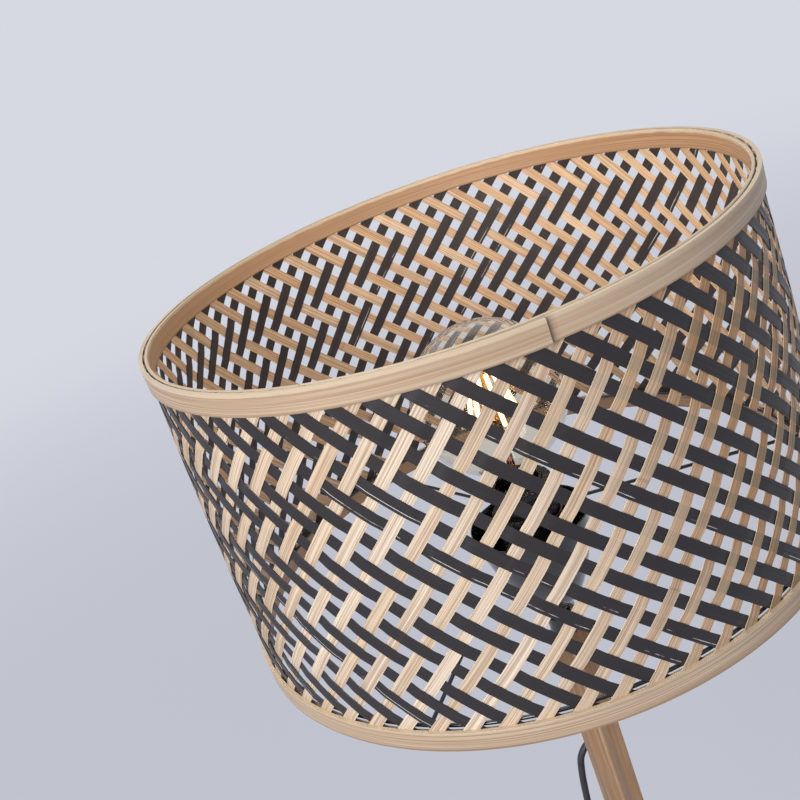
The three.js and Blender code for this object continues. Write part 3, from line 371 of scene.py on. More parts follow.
def rgb(colour: Colour) -> Tint:
    """Turns a display colour of 0 to 255 into the linear colour of a socket."""
    parts = (((c / 255 + 0.055) / 1.055) ** 2.4 if c > 10 else c / 255 / 12.92 for c in colour)
    return (*parts, 1.0)


@dataclass(frozen=True)
class StripFinish:
    """Split bamboo of the weave, with its own colours on the skin side and on the inner side.

    Its map holds the run along the strip, and the strip's number plus the share across.
    """

    name: str
    pale: Colour
    deep: Colour
    inner: Colour
    inner_deep: Colour
    line: Colour
    # Painted light: the next three colours are a strip lit from behind, its painted shade where another strip
    # lies behind, and the inner side's painted light-through tint in those squares.
    through: Colour
    painted_crossing_shade: Colour
    painted_inner_square_light: Colour
    line_share: float
    bundle_share: float
    # Share of the painted backlight.
    painted_backlight_share: float
    edge_share: float
    scuff_share: float
    roughness: float
    coat: float
    worn_edge: Tint = (0.86, 0.74, 0.6, 1.0)
    bare: Tint = (0.75, 0.71, 0.68, 1.0)
    fleck: Tint = (0.05, 0.028, 0.015, 1.0)
    knuckle_spread: float = 3.4
    first_crossing: float = 1.24588
    crossing_step: float = 0.012739
    # Direction towards the key light; the painted backlight is laid on the sides that do not face it.
    bright_side: tuple[float, float] = (-3.96, -1.44)

    def make(self, effects: Effects) -> bpy.types.Material:
        """Builds the material.

        Args:
            effects: The shared groups.

        Returns:
            The finished material.
        """
        material, g, shader = new_material(self.name)
        along, packed, _ = g.parts(g.strip_map())
        inner = g.math("GREATER_THAN", packed, 100.0)
        number = g.math("FLOOR", g.math("MODULO", packed, 100.0))
        across = g.math("FRACT", packed)
        toss = g.chance(g.plus(number, 0.37))
        place = g.vector(along, g.times(across, 0.0086), g.times(number, 0.031))
        fibre = g.group(effects.fibre, Vector=place, Lines=1250.0, Stretch=0.006)
        base = self._crossing(g, along, inner, self._base(g, fibre["Tone"], inner, toss))
        lined = g.mix(g.times(fibre["Line"], self.line_share), base, g.mix(0.62, base, rgb(self.line)))
        dark = g.mix(0.55, lined, self.fleck)
        dashed = g.mix(g.times(fibre["Bundle"], self.bundle_share), lined, dark)
        edge = g.clamp_range(g.off(across, 0.5), 0.4, 0.47, 0.0, self.edge_share)
        edged = g.mix(edge, dashed, g.mix(0.6, dashed, self.worn_edge))
        edged = g.mix(self._scuffs(g, along, across, toss), edged, self.bare)
        joint = g.off(g.plus(along, 0.2), g.times(toss, self.knuckle_spread))
        knuckle = g.clamp_range(joint, 0.0004, 0.0016, 1.0, 0.0)
        g.feed(shader.inputs["Base Color"], g.mix(g.times(knuckle, 0.5), edged, dark))
        rough = g.clamp_range(fibre["Line"], 0.0, 1.0, self.roughness - 0.08, self.roughness + 0.1)
        g.feed(shader.inputs["Roughness"], rough)
        settle(shader, {"Coat Weight": self.coat, "Coat Roughness": 0.25})
        height = g.plus(g.times(fibre["Line"], 0.6), g.times(knuckle, 1.5))
        g.feed(shader.inputs["Normal"], g.bump(height, 0.35, 0.0001))
        return material

    def _base(self, g: Graph, fibre_tone: Socket, inner: Socket, toss: Socket) -> Socket:
        """Mixes the ground colour of the skin side and of the darker inner side.

        Args:
            g: The material's graph.
            fibre_tone: The soft bands of the fibres.
            inner: 1 on the inner side.
            toss: The strip's own chance value.

        Returns:
            The colour.
        """
        tone = g.plus(g.times(fibre_tone, 0.4), g.times(toss, 0.6))
        outer = g.mix(tone, rgb(self.pale), rgb(self.deep))
        return g.mix(inner, outer, g.mix(tone, rgb(self.inner), rgb(self.inner_deep)))

    def _crossing(self, g: Graph, along: Socket, inner: Socket, base: Socket) -> Socket:
        """Paints light and shade into the strips' colour: outside, on the side of the shade away from the key
        light, a painted light-through colour, darker as painted shade in the squares where another strip lies
        behind; inside, a painted light-through tint in those squares.

        Args:
            g: The material's graph.
            along: The run along the strip.
            inner: 1 on the inner side.
            base: The ground colour.

        Returns:
            The colour.
        """
        height = g.math("DIVIDE", along, STRIP_RUN)
        phase = g.math("DIVIDE", g.math("SUBTRACT", height, self.first_crossing), self.crossing_step)
        near = g.off(g.math("FRACT", g.plus(phase, 100.5)), 0.5)
        # The squares where another strip lies behind.
        square = g.clamp_range(near, 0.235, 0.275, 1.0, 0.0)
        x, y, _ = g.parts(g.spot())
        facing = g.plus(g.times(x, self.bright_side[0]), g.times(y, self.bright_side[1]))
        # Painted backlight: none where the wall faces the key light, full on the sides, and weaker again on
        # the far back.
        backlit = g.clamp_range(facing, 0.5, 0.95, self.painted_backlight_share, 0.0)
        behind = g.clamp_range(facing, -0.6, -0.15, 0.2, 1.0)
        # Painted light-through colour of the strip, with painted shade in the squares where another strip
        # lies behind.
        through = g.mix(square, rgb(self.through), rgb(self.painted_crossing_shade))
        outside = g.mix(g.times(backlit, behind), base, through)
        # Inner side: a painted light-through tint in the same squares.
        within = g.mix(g.times(square, 0.5), base, g.mix(0.5, base, rgb(self.painted_inner_square_light)))
        return g.mix(inner, outside, within)

    def _scuffs(self, g: Graph, along: Socket, across: Socket, toss: Socket) -> Socket:
        """Draws fine pale scratches near one edge of some strips.

        Args:
            g: The material's graph.
            along: The run along the strip.
            across: The share across the strip.
            toss: The strip's own chance value.

        Returns:
            The share of bare, scratched colour.
        """
        place = g.plus(0.24, g.times(g.math("FRACT", g.times(toss, 7.0)), 0.12))
        line = g.clamp_range(g.off(across, place), 0.008, 0.032, 1.0, 0.0)
        run = g.noise(g.vector(g.times(along, 22.0), g.times(toss, 90.0), 0.0), 1.0, 4.0, 0.65)
        wear_and_painted_shadow = g.math("GREATER_THAN", g.math("FRACT", g.times(toss, 13.0)), 0.88)
        return g.times(g.times(line, g.clamp_range(run, 0.5, 0.56, 0.0, self.scuff_share)), wear_and_painted_shadow)


@dataclass(frozen=True)
class HoopFinish:
    """Bent bamboo with long fine grain.

    Its map holds the run round the hoop and the height up it, in metres.
    """

    name: str
    pale: Colour
    deep: Colour
    within: Colour
    # Also the colour of the painted lap shadow and of the darker lower edge.
    line: Colour = (112, 78, 48)
    rim: Colour = (222, 202, 172)
    fleck: Tint = (0.09, 0.05, 0.025, 1.0)
    tall: float = 16.2 * MM
    # Reach of the painted shadow beside the lap's square end.
    painted_lap_shadow_reach: float = 7 * MM
    roughness: float = 0.45

    def make(self, effects: Effects) -> bpy.types.Material:
        """Builds the material.

        Args:
            effects: The shared groups.

        Returns:
            The finished material.
        """
        material, g, shader = new_material(self.name)
        along, packed, _ = g.parts(g.strip_map())
        inward = g.math("GREATER_THAN", packed, 0.04)
        up = g.math("SUBTRACT", packed, g.times(inward, HOOP_INNER_MAP))
        sway = g.noise(g.vector(g.times(along, 2.2), 0.0, 0.0), 1.0, 1.0)
        bent = g.plus(up, g.times(sway, 0.007))
        fibre = g.group(effects.fibre, Vector=g.vector(along, bent, 0.0), Lines=1150.0, Stretch=0.0035)
        broad = g.noise(g.vector(g.times(along, 4.0), g.times(bent, 150.0), 0.0), 1.0, 2.0)
        tone = g.plus(g.times(fibre["Tone"], 0.4), g.times(broad, 0.6))
        outside = g.mix(tone, rgb(self.pale), rgb(self.deep))
        base = g.mix(inward, outside, g.mix(g.times(tone, 0.6), rgb(self.within), rgb(self.deep)))
        strong = g.noise(g.vector(g.times(along, 2.6), 4.7, 0.0), 1.0, 1.0)
        share = g.times(fibre["Line"], g.clamp_range(strong, 0.35, 0.62, 0.25, 0.8))
        lined = g.mix(share, base, g.mix(0.7, base, rgb(self.line)))
        dark = g.mix(0.55, lined, self.fleck)
        flecked = g.mix(g.times(fibre["Bundle"], 0.6), lined, dark)
        rough_edge = g.times(g.noise(g.vector(g.times(along, 60.0), 2.0, 0.0), 1.0, 3.0), 0.003)
        top = g.clamp_range(g.plus(up, rough_edge), self.tall - 0.0015, self.tall - 0.0002, 0.0, 0.55)
        rimmed = g.mix(top, flecked, rgb(self.rim))
        # Darker along the lower edge.
        foot = g.clamp_range(up, 0.0003, 0.0016, 0.55, 0.0)
        # Painted shadow that the square end of the lap casts on the strip beside it.
        painted_lap_shadow = g.clamp_range(along, LAP_RUN - self.painted_lap_shadow_reach, LAP_RUN, 0.0, 0.5)
        # The darker lower edge and the painted lap shadow, both mixed towards the line colour.
        wear_and_painted_shadow = g.math("MAXIMUM", foot, painted_lap_shadow)
        g.feed(shader.inputs["Base Color"], g.mix(wear_and_painted_shadow, rimmed, rgb(self.line)))
        rough = g.clamp_range(fibre["Line"], 0.0, 1.0, self.roughness - 0.06, self.roughness + 0.12)
        g.feed(shader.inputs["Roughness"], rough)
        settle(shader, {"Coat Weight": 0.15, "Coat Roughness": 0.3})
        g.feed(shader.inputs["Normal"], g.bump(fibre["Line"], 0.35, 0.00015))
        return material


class Grain(Enum):
    """Which way the grain of a solid bamboo piece runs."""

    X = "x"
    Y = "y"
    Z = "z"


@dataclass(frozen=True)
class PlankFinish:
    """Laminated brown bamboo, its grain along one axis and its laminations seen as lines."""

    name: str
    grain: Grain
    pale: Colour = (190, 152, 112)
    deep: Colour = (134, 96, 68)
    fleck: Tint = (0.05, 0.025, 0.012, 1.0)
    ply: float = 8.7 * MM

    def make(self, effects: Effects) -> bpy.types.Material:
        """Builds the material.

        Args:
            effects: The shared groups.

        Returns:
            The finished material.
        """
        material, g, shader = new_material(self.name)
        x, y, z = g.parts(g.spot())
        order = {Grain.X: (x, y, z), Grain.Y: (y, x, z), Grain.Z: (z, x, y)}
        along, across, depth = order[self.grain]
        fibre = g.group(effects.fibre, Vector=g.vector(along, across, depth), Lines=1300.0, Stretch=0.014)
        layer = g.plus(g.math("DIVIDE", across, self.ply), 100.5)
        seam = g.off(g.math("FRACT", layer), 0.5)
        glue = g.clamp_range(seam, 0.455, 0.49)
        toss = g.chance(g.math("FLOOR", layer))
        tone = g.plus(g.times(fibre["Tone"], 0.55), g.times(toss, 0.45))
        base = g.mix(tone, rgb(self.pale), rgb(self.deep))
        lined = g.mix(g.times(fibre["Line"], 0.35), base, rgb(self.deep))
        dark = g.mix(0.6, lined, self.fleck)
        dashed = g.mix(g.times(fibre["Bundle"], 0.7), lined, dark)
        g.feed(shader.inputs["Base Color"], g.mix(g.times(glue, 0.5), dashed, dark))
        g.feed(shader.inputs["Roughness"], g.clamp_range(fibre["Line"], 0.0, 1.0, 0.36, 0.52))
        settle(shader, {"Coat Weight": 0.3, "Coat Roughness": 0.22})
        height = g.math("SUBTRACT", fibre["Line"], g.times(glue, 1.5))
        g.feed(shader.inputs["Normal"], g.bump(height, 0.25, 0.0001))
        return material


@dataclass(frozen=True)
class PlainFinish:
    """A painted, moulded, cast or metal surface with uneven gloss and a fine grit."""

    name: str
    colour: Colour
    other: Colour
    roughness: float
    metallic: float = 0.0
    coat: float = 0.0
    size: float = 60.0
    grit: float = 0.1
    depth: float = 0.00003

    def make(self, effects: Effects) -> bpy.types.Material:
        """Builds the material.

        Args:
            effects: The shared groups.

        Returns:
            The finished material.
        """
        material, g, shader = new_material(self.name)
        mottle = g.group(effects.mottle, Vector=g.spot(), Size=self.size)
        g.feed(shader.inputs["Base Color"], g.mix(mottle["Patch"], rgb(self.colour), rgb(self.other)))
        spread = min(0.06, self.roughness * 0.4)
        rough = g.clamp_range(mottle["Patch"], 0.0, 1.0, self.roughness - spread, self.roughness + spread)
        g.feed(shader.inputs["Roughness"], rough)
        settle(shader, {"Metallic": self.metallic, "Coat Weight": self.coat, "Coat Roughness": 0.05})
        g.feed(shader.inputs["Normal"], g.bump(mottle["Grit"], self.grit, self.depth))
        return material


@dataclass(frozen=True)
class GlassFinish:
    """Glass, a little uneven in its polish."""

    name: str
    tint: Tint

    def make(self, effects: Effects) -> bpy.types.Material:
        """Builds the material.

        Args:
            effects: The shared groups.

        Returns:
            The finished material.
        """
        material, g, shader = new_material(self.name)
        settle(shader, {"Base Color": self.tint, "Transmission Weight": 1.0, "IOR": 1.45})
        mottle = g.group(effects.mottle, Vector=g.spot(), Size=18.0)
        g.feed(shader.inputs["Roughness"], g.clamp_range(mottle["Patch"], 0.0, 1.0, 0.0, 0.012))
        return material


@dataclass(frozen=True)
class GlowFinish:
    """The coated filaments, lit: nearly white where they face the eye and orange at their rims."""

    name: str = "lit_filament"
    core: Tint = (1.0, 0.74, 0.40, 1.0)
    core_patch: Tint = (1.0, 0.82, 0.52, 1.0)
    edge: Tint = (1.0, 0.42, 0.09, 1.0)
    strength: float = 4.5
    edge_strength: float = 1.3

    def make(self, effects: Effects) -> bpy.types.Material:
        """Builds the material.

        Args:
            effects: The shared groups.

        Returns:
            The finished material.
        """
        material, g, shader = new_material(self.name)
        mottle = g.group(effects.mottle, Vector=g.spot(), Size=220.0)
        facing = g.wired("ShaderNodeLayerWeight", {"Blend": 0.35}).outputs["Facing"]
        rim = g.clamp_range(facing, 0.1, 0.6)
        warm = g.mix(rim, g.mix(mottle["Patch"], self.core, self.core_patch), self.edge)
        g.feed(shader.inputs["Base Color"], warm)
        g.feed(shader.inputs["Emission Color"], warm)
        level = g.mix(rim, (self.strength,) * 3 + (1.0,), (self.edge_strength,) * 3 + (1.0,))
        g.feed(shader.inputs["Emission Strength"], level)
        settle(shader, {"Roughness": 0.6})
        return material


class Finishes:
    """Every material of the lamp, made once."""

    def __init__(self) -> None:
        """Builds the shared groups and the materials."""
        effects = self.effects = Effects()
        self.natural_strip = StripFinish(
            name="natural_strip",
            pale=(244, 227, 206),
            deep=(218, 190, 160),
            inner=(228, 200, 172),
            inner_deep=(208, 164, 124),
            line=(122, 82, 46),
            # Painted light: backlit colour, painted shade where strips cross, and painted light through the
            # inner squares.
            through=(190, 142, 96),
            painted_crossing_shade=(146, 122, 86),
            painted_inner_square_light=(212, 172, 112),
            line_share=0.85,
            bundle_share=0.5,
            # Share of the painted backlight.
            painted_backlight_share=0.9,
            edge_share=0.55,
            scuff_share=0.0,
            roughness=0.5,
            coat=0.1,
        ).make(effects)
        self.black_strip = StripFinish(
            name="black_strip",
            pale=(38, 31, 34),
            deep=(28, 23, 25),
            inner=(62, 52, 49),
            inner_deep=(46, 38, 36),
            line=(18, 15, 16),
            # Painted light: backlit colour, painted shade where strips cross, and painted light through the
            # inner squares.
            through=(30, 25, 27),
            painted_crossing_shade=(30, 25, 27),
            painted_inner_square_light=(50, 42, 40),
            line_share=0.5,
            bundle_share=0.3,
            # Share of the painted backlight.
            painted_backlight_share=0.2,
            edge_share=0.0,
            scuff_share=0.9,
            roughness=0.46,
            coat=0.06,
        ).make(effects)
        outer = HoopFinish("hoop_bamboo", (222, 200, 174), (176, 142, 110), (194, 158, 122))
        inner = HoopFinish("inner_hoop", (206, 180, 150), (160, 122, 90), (184, 144, 108))
        self.hoop, self.inner_hoop = outer.make(effects), inner.make(effects)
        self.pole = PlankFinish("pole_bamboo", Grain.Z).make(effects)
        self.beam_x = PlankFinish("beam_bamboo_x", Grain.X, ply=7 * MM).make(effects)
        self.beam_y = PlankFinish("beam_bamboo_y", Grain.Y, ply=7 * MM).make(effects)
        self.gloss = self._plain("black_gloss", (16, 16, 18), (22, 22, 24), 0.1, coat=0.6, grit=0.04)
        self.satin = self._plain("black_satin", (30, 30, 32), (38, 38, 40), 0.42, size=90.0, grit=0.3)
        self.wire = self._plain("black_wire", (14, 14, 16), (20, 20, 22), 0.12, coat=0.5, grit=0.06)
        self.rubber = self._plain("dark_rubber", (38, 38, 40), (48, 48, 50), 0.75, size=140.0, grit=0.5)
        self.sheath = self._plain("cord_sheath", (36, 35, 39), (46, 45, 50), 0.46, size=160.0, grit=0.3)
        metal = {"metallic": 1.0, "size": 120.0}
        self.steel = self._plain("plain_steel", (178, 180, 182), (160, 162, 165), 0.28, **metal)
        self.brass = self._plain("plain_brass", (206, 168, 96), (186, 146, 78), 0.3, **metal)
        self.ceramic = self._plain("glazed_ceramic", (232, 228, 220), (222, 217, 208), 0.3, coat=0.4)
        self.glass = GlassFinish("golden_glass", (0.97, 0.92, 0.82, 1.0)).make(effects)
        # Glass with an orange tint that stands in for a painted reflection of the lit filaments.
        self.painted_glow_glass = GlassFinish("painted_glow_stem", (0.98, 0.42, 0.16, 1.0)).make(effects)
        self.glow = GlowFinish().make(effects)

    def _plain(
        self, name: str, colour: Colour, other: Colour, roughness: float, **more: float
    ) -> bpy.types.Material:
        """Makes one plain finish from its two colours, its roughness and what else differs."""
        return PlainFinish(name, colour, other, roughness, **more).make(self.effects)


# ---------------------------------------------------------------- mesh helpers


def publish(
    name: str,
    mesh: Mesh,
    material: bpy.types.Material,
    slot: Slot,
    replaces: Sequence[str] = (),
    body: Body = Body.LAMP,
    sharp: float = 35.0,
    bevel: float = 0.0,
) -> bpy.types.Object:
    """Turns a bmesh into a finished piece of the lamp.

    Args:
        name: The piece's name.
        mesh: The shape, which is freed.
        material: Its material.
        slot: A material slot; not used.
        replaces: The frame's nodes that it stands for.
        body: The body that it moves with.
        sharp: Edges over this many degrees stay sharp.
        bevel: Width of the rounding of its sharp edges, or 0.

    Returns:
        The new object.
    """
    data = bpy.data.meshes.new(name)
    for face in mesh.faces:
        face.smooth = True
    mesh.to_mesh(data)
    mesh.free()
    data.set_sharp_from_angle(angle=math.radians(sharp))
    data.materials.append(material)
    made = bpy.data.objects.new(name, data)
    bpy.context.scene.collection.objects.link(made)
    if bevel:
        rounding = made.modifiers.new("rounding", "BEVEL")
        rounding.width = bevel
        rounding.segments = 2
        rounding.limit_method = "ANGLE"
        rounding.angle_limit = math.radians(sharp)
        rounding.harden_normals = False
    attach(made, body.value)
    if replaces:
        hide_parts(*replaces)
    LOG.info("made %s", name)
    return made


def turned(profile: Profile, steps: int = 96, arc: float = math.tau) -> Mesh:
    """Spins a profile round the Z axis.

    Args:
        profile: Radius and height of each corner; on the axis at both ends, or closed by repeating the first.
        steps: How many facets go round.
        arc: How far it spins.

    Returns:
        The closed shape.
    """
    mesh = bmesh.new()
    corners = [mesh.verts.new((radius, 0, height)) for radius, height in profile]
    edges = [mesh.edges.new(pair) for pair in zip(corners, corners[1:])]
    bmesh.ops.spin(
        mesh, geom=corners + edges, cent=(0, 0, 0), axis=(0, 0, 1), angle=arc, steps=steps, use_merge=True
    )
    bmesh.ops.remove_doubles(mesh, verts=mesh.verts, dist=1e-6)
    bmesh.ops.recalc_face_normals(mesh, faces=mesh.faces)
    return mesh


def moved(mesh: Mesh, place: Sequence[float], angle: float = 0.0, axis: str = "X") -> Mesh:
    """Turns a whole shape about an axis through the origin, then moves it.

    Args:
        mesh: The shape.
        place: How far it moves.
        angle: How far it turns first, in radians.
        axis: The axis that it turns about.

    Returns:
        The same shape.
    """
    if angle:
        bmesh.ops.rotate(mesh, verts=mesh.verts, cent=(0, 0, 0), matrix=Matrix.Rotation(angle, 3, axis))
    bmesh.ops.translate(mesh, verts=mesh.verts, vec=place)
    return mesh


def tube_profile(inner: float, outer: float, low: float, high: float) -> list[tuple[float, float]]:
    """Gives the closed profile of a plain tube or ring."""
    return [(inner, low), (outer, low), (outer, high), (inner, high), (inner, low)]


def rounded(profile: Profile, width: float, segments: int = 3) -> list[tuple[float, float]]:
    """Rounds the inner corners of a profile.

    Args:
        profile: Radius and height of each corner, the ends kept.
        width: How far from a corner the rounding starts, at most a third of the shorter side.
        segments: How many sides each rounding has.

    Returns:
        The finer profile.
    """
    closed = profile[0] == profile[-1]
    points = [Vector((r, z)) for r, z in profile]
    made: list[tuple[float, float]] = [] if closed else [tuple(points[0])]
    places = range(len(points) - 1) if closed else range(1, len(points) - 1)
    for i in places:
        before = points[i - 1] if i else points[-2]
        here, after = points[i], points[i + 1]
        if here.x < 1e-7:
            made.append(tuple(here))
            continue
        a, b = before - here, after - here
        cut = min(width, a.length / 3, b.length / 3)
        start, end = here + a.normalized() * cut, here + b.normalized() * cut
        for k in range(segments + 1):
            t = k / segments
            made.append(tuple(start * (1 - t) ** 2 + here * 2 * t * (1 - t) + end * t * t))
    made.append(made[0] if closed else tuple(points[-1]))
    return made


@dataclass(frozen=True)
class Bar:
    """A long thin bar that is bent into place, its long edges eased."""

    width: float
    thickness: float
    ease: float
    segments: int

    def bend(
        self,
        place: Callable[[float, float, float], Vector],
        uv: Callable[[float, float, bool], tuple[float, float]],
    ) -> Mesh:
        """Eases a cube's long edges, cuts it across and moves every corner to its place.

        Args:
            place: Gives a point's place from its shares along, across and through, each from 0 to 1.
            uv: Gives a point's map coordinates from its shares along and across, and whether it faces inward.

        Returns:
            The closed bar.
        """
        mesh = bmesh.new()
        bmesh.ops.create_cube(mesh, size=1.0)
        bmesh.ops.translate(mesh, verts=mesh.verts, vec=(0.5, 0.5, 0.5))
        bmesh.ops.scale(mesh, verts=mesh.verts, vec=(1.0, self.width, self.thickness))
        if self.ease:
            bmesh.ops.bevel(
                mesh,
                geom=self._long_edges(mesh),
                offset=self.ease,
                segments=1,
                profile=0.5,
                affect="EDGES",
                material=-1,
            )
        bmesh.ops.scale(mesh, verts=mesh.verts, vec=(1.0, 1 / self.width, 1 / self.thickness))
        bmesh.ops.subdivide_edges(
            mesh, edges=self._long_edges(mesh), cuts=self.segments - 1, use_grid_fill=True
        )
        layer = mesh.loops.layers.uv.new("strip")
        for face in mesh.faces:
            inward = sum(v.co.z for v in face.verts) / len(face.verts) < 0.1
            for loop in face.loops:
                loop[layer].uv = uv(loop.vert.co.x, loop.vert.co.y, inward)
        for vert in mesh.verts:
            vert.co = place(*vert.co)
        bmesh.ops.recalc_face_normals(mesh, faces=mesh.faces)
        return mesh

    def _long_edges(self, mesh: Mesh) -> list[bmesh.types.BMEdge]:
        """Finds the edges that run the whole length."""
        return [e for e in mesh.edges if abs(e.verts[0].co.x - e.verts[1].co.x) > 0.5]


def smooth_route(points: Sequence[Point], step: float) -> list[Vector]:
    """Runs a centripetal curve through points.

    Args:
        points: What it passes through.
        step: Distance between the points given back.

    Returns:
        Points along the curve.
    """
    knots = [Vector(p) for p in points]
    ends = [knots[0] * 2 - knots[1], *knots, knots[-1] * 2 - knots[-2]]
    made: list[Vector] = []
    for i in range(1, len(ends) - 2):
        p0, p1, p2, p3 = ends[i - 1 : i + 3]
        t1 = max((p1 - p0).length ** 0.5, 1e-6)
        t2 = t1 + max((p2 - p1).length ** 0.5, 1e-6)
        t3 = t2 + max((p3 - p2).length ** 0.5, 1e-6)
        count = max(2, round((p2 - p1).length / step))
        for k in range(count):
            t = t1 + (t2 - t1) * k / count
            a1 = p0 * ((t1 - t) / t1) + p1 * (t / t1)
            a2 = p1 * ((t2 - t) / (t2 - t1)) + p2 * ((t - t1) / (t2 - t1))
            a3 = p2 * ((t3 - t) / (t3 - t2)) + p3 * ((t - t2) / (t3 - t2))
            b1 = a1 * ((t2 - t) / t2) + a2 * (t / t2)
            b2 = a2 * ((t3 - t) / (t3 - t1)) + a3 * ((t - t1) / (t3 - t1))
            made.append(b1 * ((t2 - t) / (t2 - t1)) + b2 * ((t - t1) / (t2 - t1)))
    made.append(knots[-1])
    return made


def flex(
    name: str, points: Sequence[Vector], radius: float, material: bpy.types.Material
) -> bpy.types.Object:
    """Makes a round flexible cord along points.

    Args:
        name: The piece's name.
        points: Its centre line.
        radius: Half its thickness.
        material: Its material.

    Returns:
        A curve object of one open spline.
    """
    data = bpy.data.curves.new(name, "CURVE")
    data.dimensions = "3D"
    data.bevel_depth = radius
    data.bevel_resolution = 4
    data.use_fill_caps = True
    line = data.splines.new("POLY")
    line.points.add(len(points) - 1)
    for knot, point in zip(line.points, points):
        knot.co = (*point, 1.0)
    line.use_smooth = True
    data.materials.append(material)
    made = bpy.data.objects.new(name, data)
    bpy.context.scene.collection.objects.link(made)
    return made


def smoothed(
    node: str, material: bpy.types.Material, slot: Slot, body: Body = Body.LAMP, sharp: float = 28.0
) -> bpy.types.Object:
    """Merges a copy of a solid of the frame, so that its rounds shade smoothly, and lets it stand for it.

    Args:
        node: The frame's node.
        material: The piece's material.
        slot: A material slot, passed on to publish.
        body: The body that it moves with.
        sharp: Edges over this many degrees stay sharp.

    Returns:
        The smooth piece.
    """
    mesh = bmesh.new()
    mesh.from_mesh(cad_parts[node].data)
    bmesh.ops.remove_doubles(mesh, verts=mesh.verts, dist=1e-6)
    bmesh.ops.recalc_face_normals(mesh, faces=mesh.faces)
    return publish(f"{node}_smooth", mesh, material, slot, [node], body, sharp)


def ribbed(start: float, end: float, wide: float, slim: float, ribs: int) -> list[tuple[float, float]]:
    """Gives the profile of a tapered strain relief with grooves round it.

    Args:
        start: Where its wide end is on the axis.
        end: Where its slim end is.
        wide: Radius of the wide end.
        slim: Radius of the slim end.
        ribs: How many ribs it has.

    Returns:
        Radius and place of each corner, on the axis at both ends.
    """
    made = [(0.0, start), (wide - 0.4 * MM, start)]
    length = end - start
    for k in range(ribs):
        for share, sink in ((0.12, 0.0), (0.62, 0.0), (0.7, 0.7), (0.98, 0.7)):
            place = (k + share) / ribs
            made.append((wide + (slim - wide) * place - sink * MM, start + length * place))
    return [*made, (slim, end - 0.1 * length / ribs), (slim - 0.3 * MM, end), (0.0, end)]


def merge_into(mesh: Mesh, other: Mesh) -> None:
    """Adds another shape to a shape, and frees the other.

    Args:
        mesh: The shape that grows.
        other: The shape that goes into it.
    """
    data = bpy.data.meshes.new("joining")
    other.to_mesh(data)
    other.free()
    mesh.from_mesh(data)
    bpy.data.meshes.remove(data)


def cylinder(radius: float, height: float, sides: int, top: float | None = None) -> Mesh:
    """Makes an upright cylinder round the origin, or one that narrows to its top.

    Args:
        radius: Its radius at the bottom.
        height: How tall it is.
        sides: How many facets go round.
        top: Its radius at the top, where that differs.

    Returns:
        The closed shape.
    """
    mesh = bmesh.new()
    ends = {"radius1": radius, "radius2": radius if top is None else top}
    bmesh.ops.create_cone(mesh, cap_ends=True, segments=sides, depth=height, **ends)
    return mesh


def ball(radius: float, place: Vector, sides: int) -> Mesh:
    """Makes a small round drop.

    Args:
        radius: Its radius.
        place: Where its middle is.
        sides: How many facets go round.

    Returns:
        The closed shape.
    """
    mesh = bmesh.new()
    bmesh.ops.create_uvsphere(mesh, u_segments=sides, v_segments=8, radius=radius)
    return moved(mesh, place)


def wire_between(start: Vector, end: Vector, radius: float, sides: int = 12) -> Mesh:
    """Makes a straight round wire between two points.

    Args:
        start: One end.
        end: The other end.
        radius: Half its thickness.
        sides: How many facets go round.

    Returns:
        The wire, its ends closed.
    """
    mesh = cylinder(radius, (end - start).length, sides)
    turn = (end - start).to_track_quat("Z", "Y").to_matrix().to_4x4()
    bmesh.ops.transform(mesh, matrix=Matrix.Translation((start + end) / 2) @ turn, verts=mesh.verts)
    return mesh


def dress(material: bpy.types.Material, *nodes: str) -> None:
    """Gives nodes of the frame their material.

    Args:
        material: The material.
        nodes: The nodes' names.
    """
    for name in nodes:
        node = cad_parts[name]
        node.data.materials.clear()
        node.data.materials.append(material)


# ---------------------------------------------------------------- camera and stage


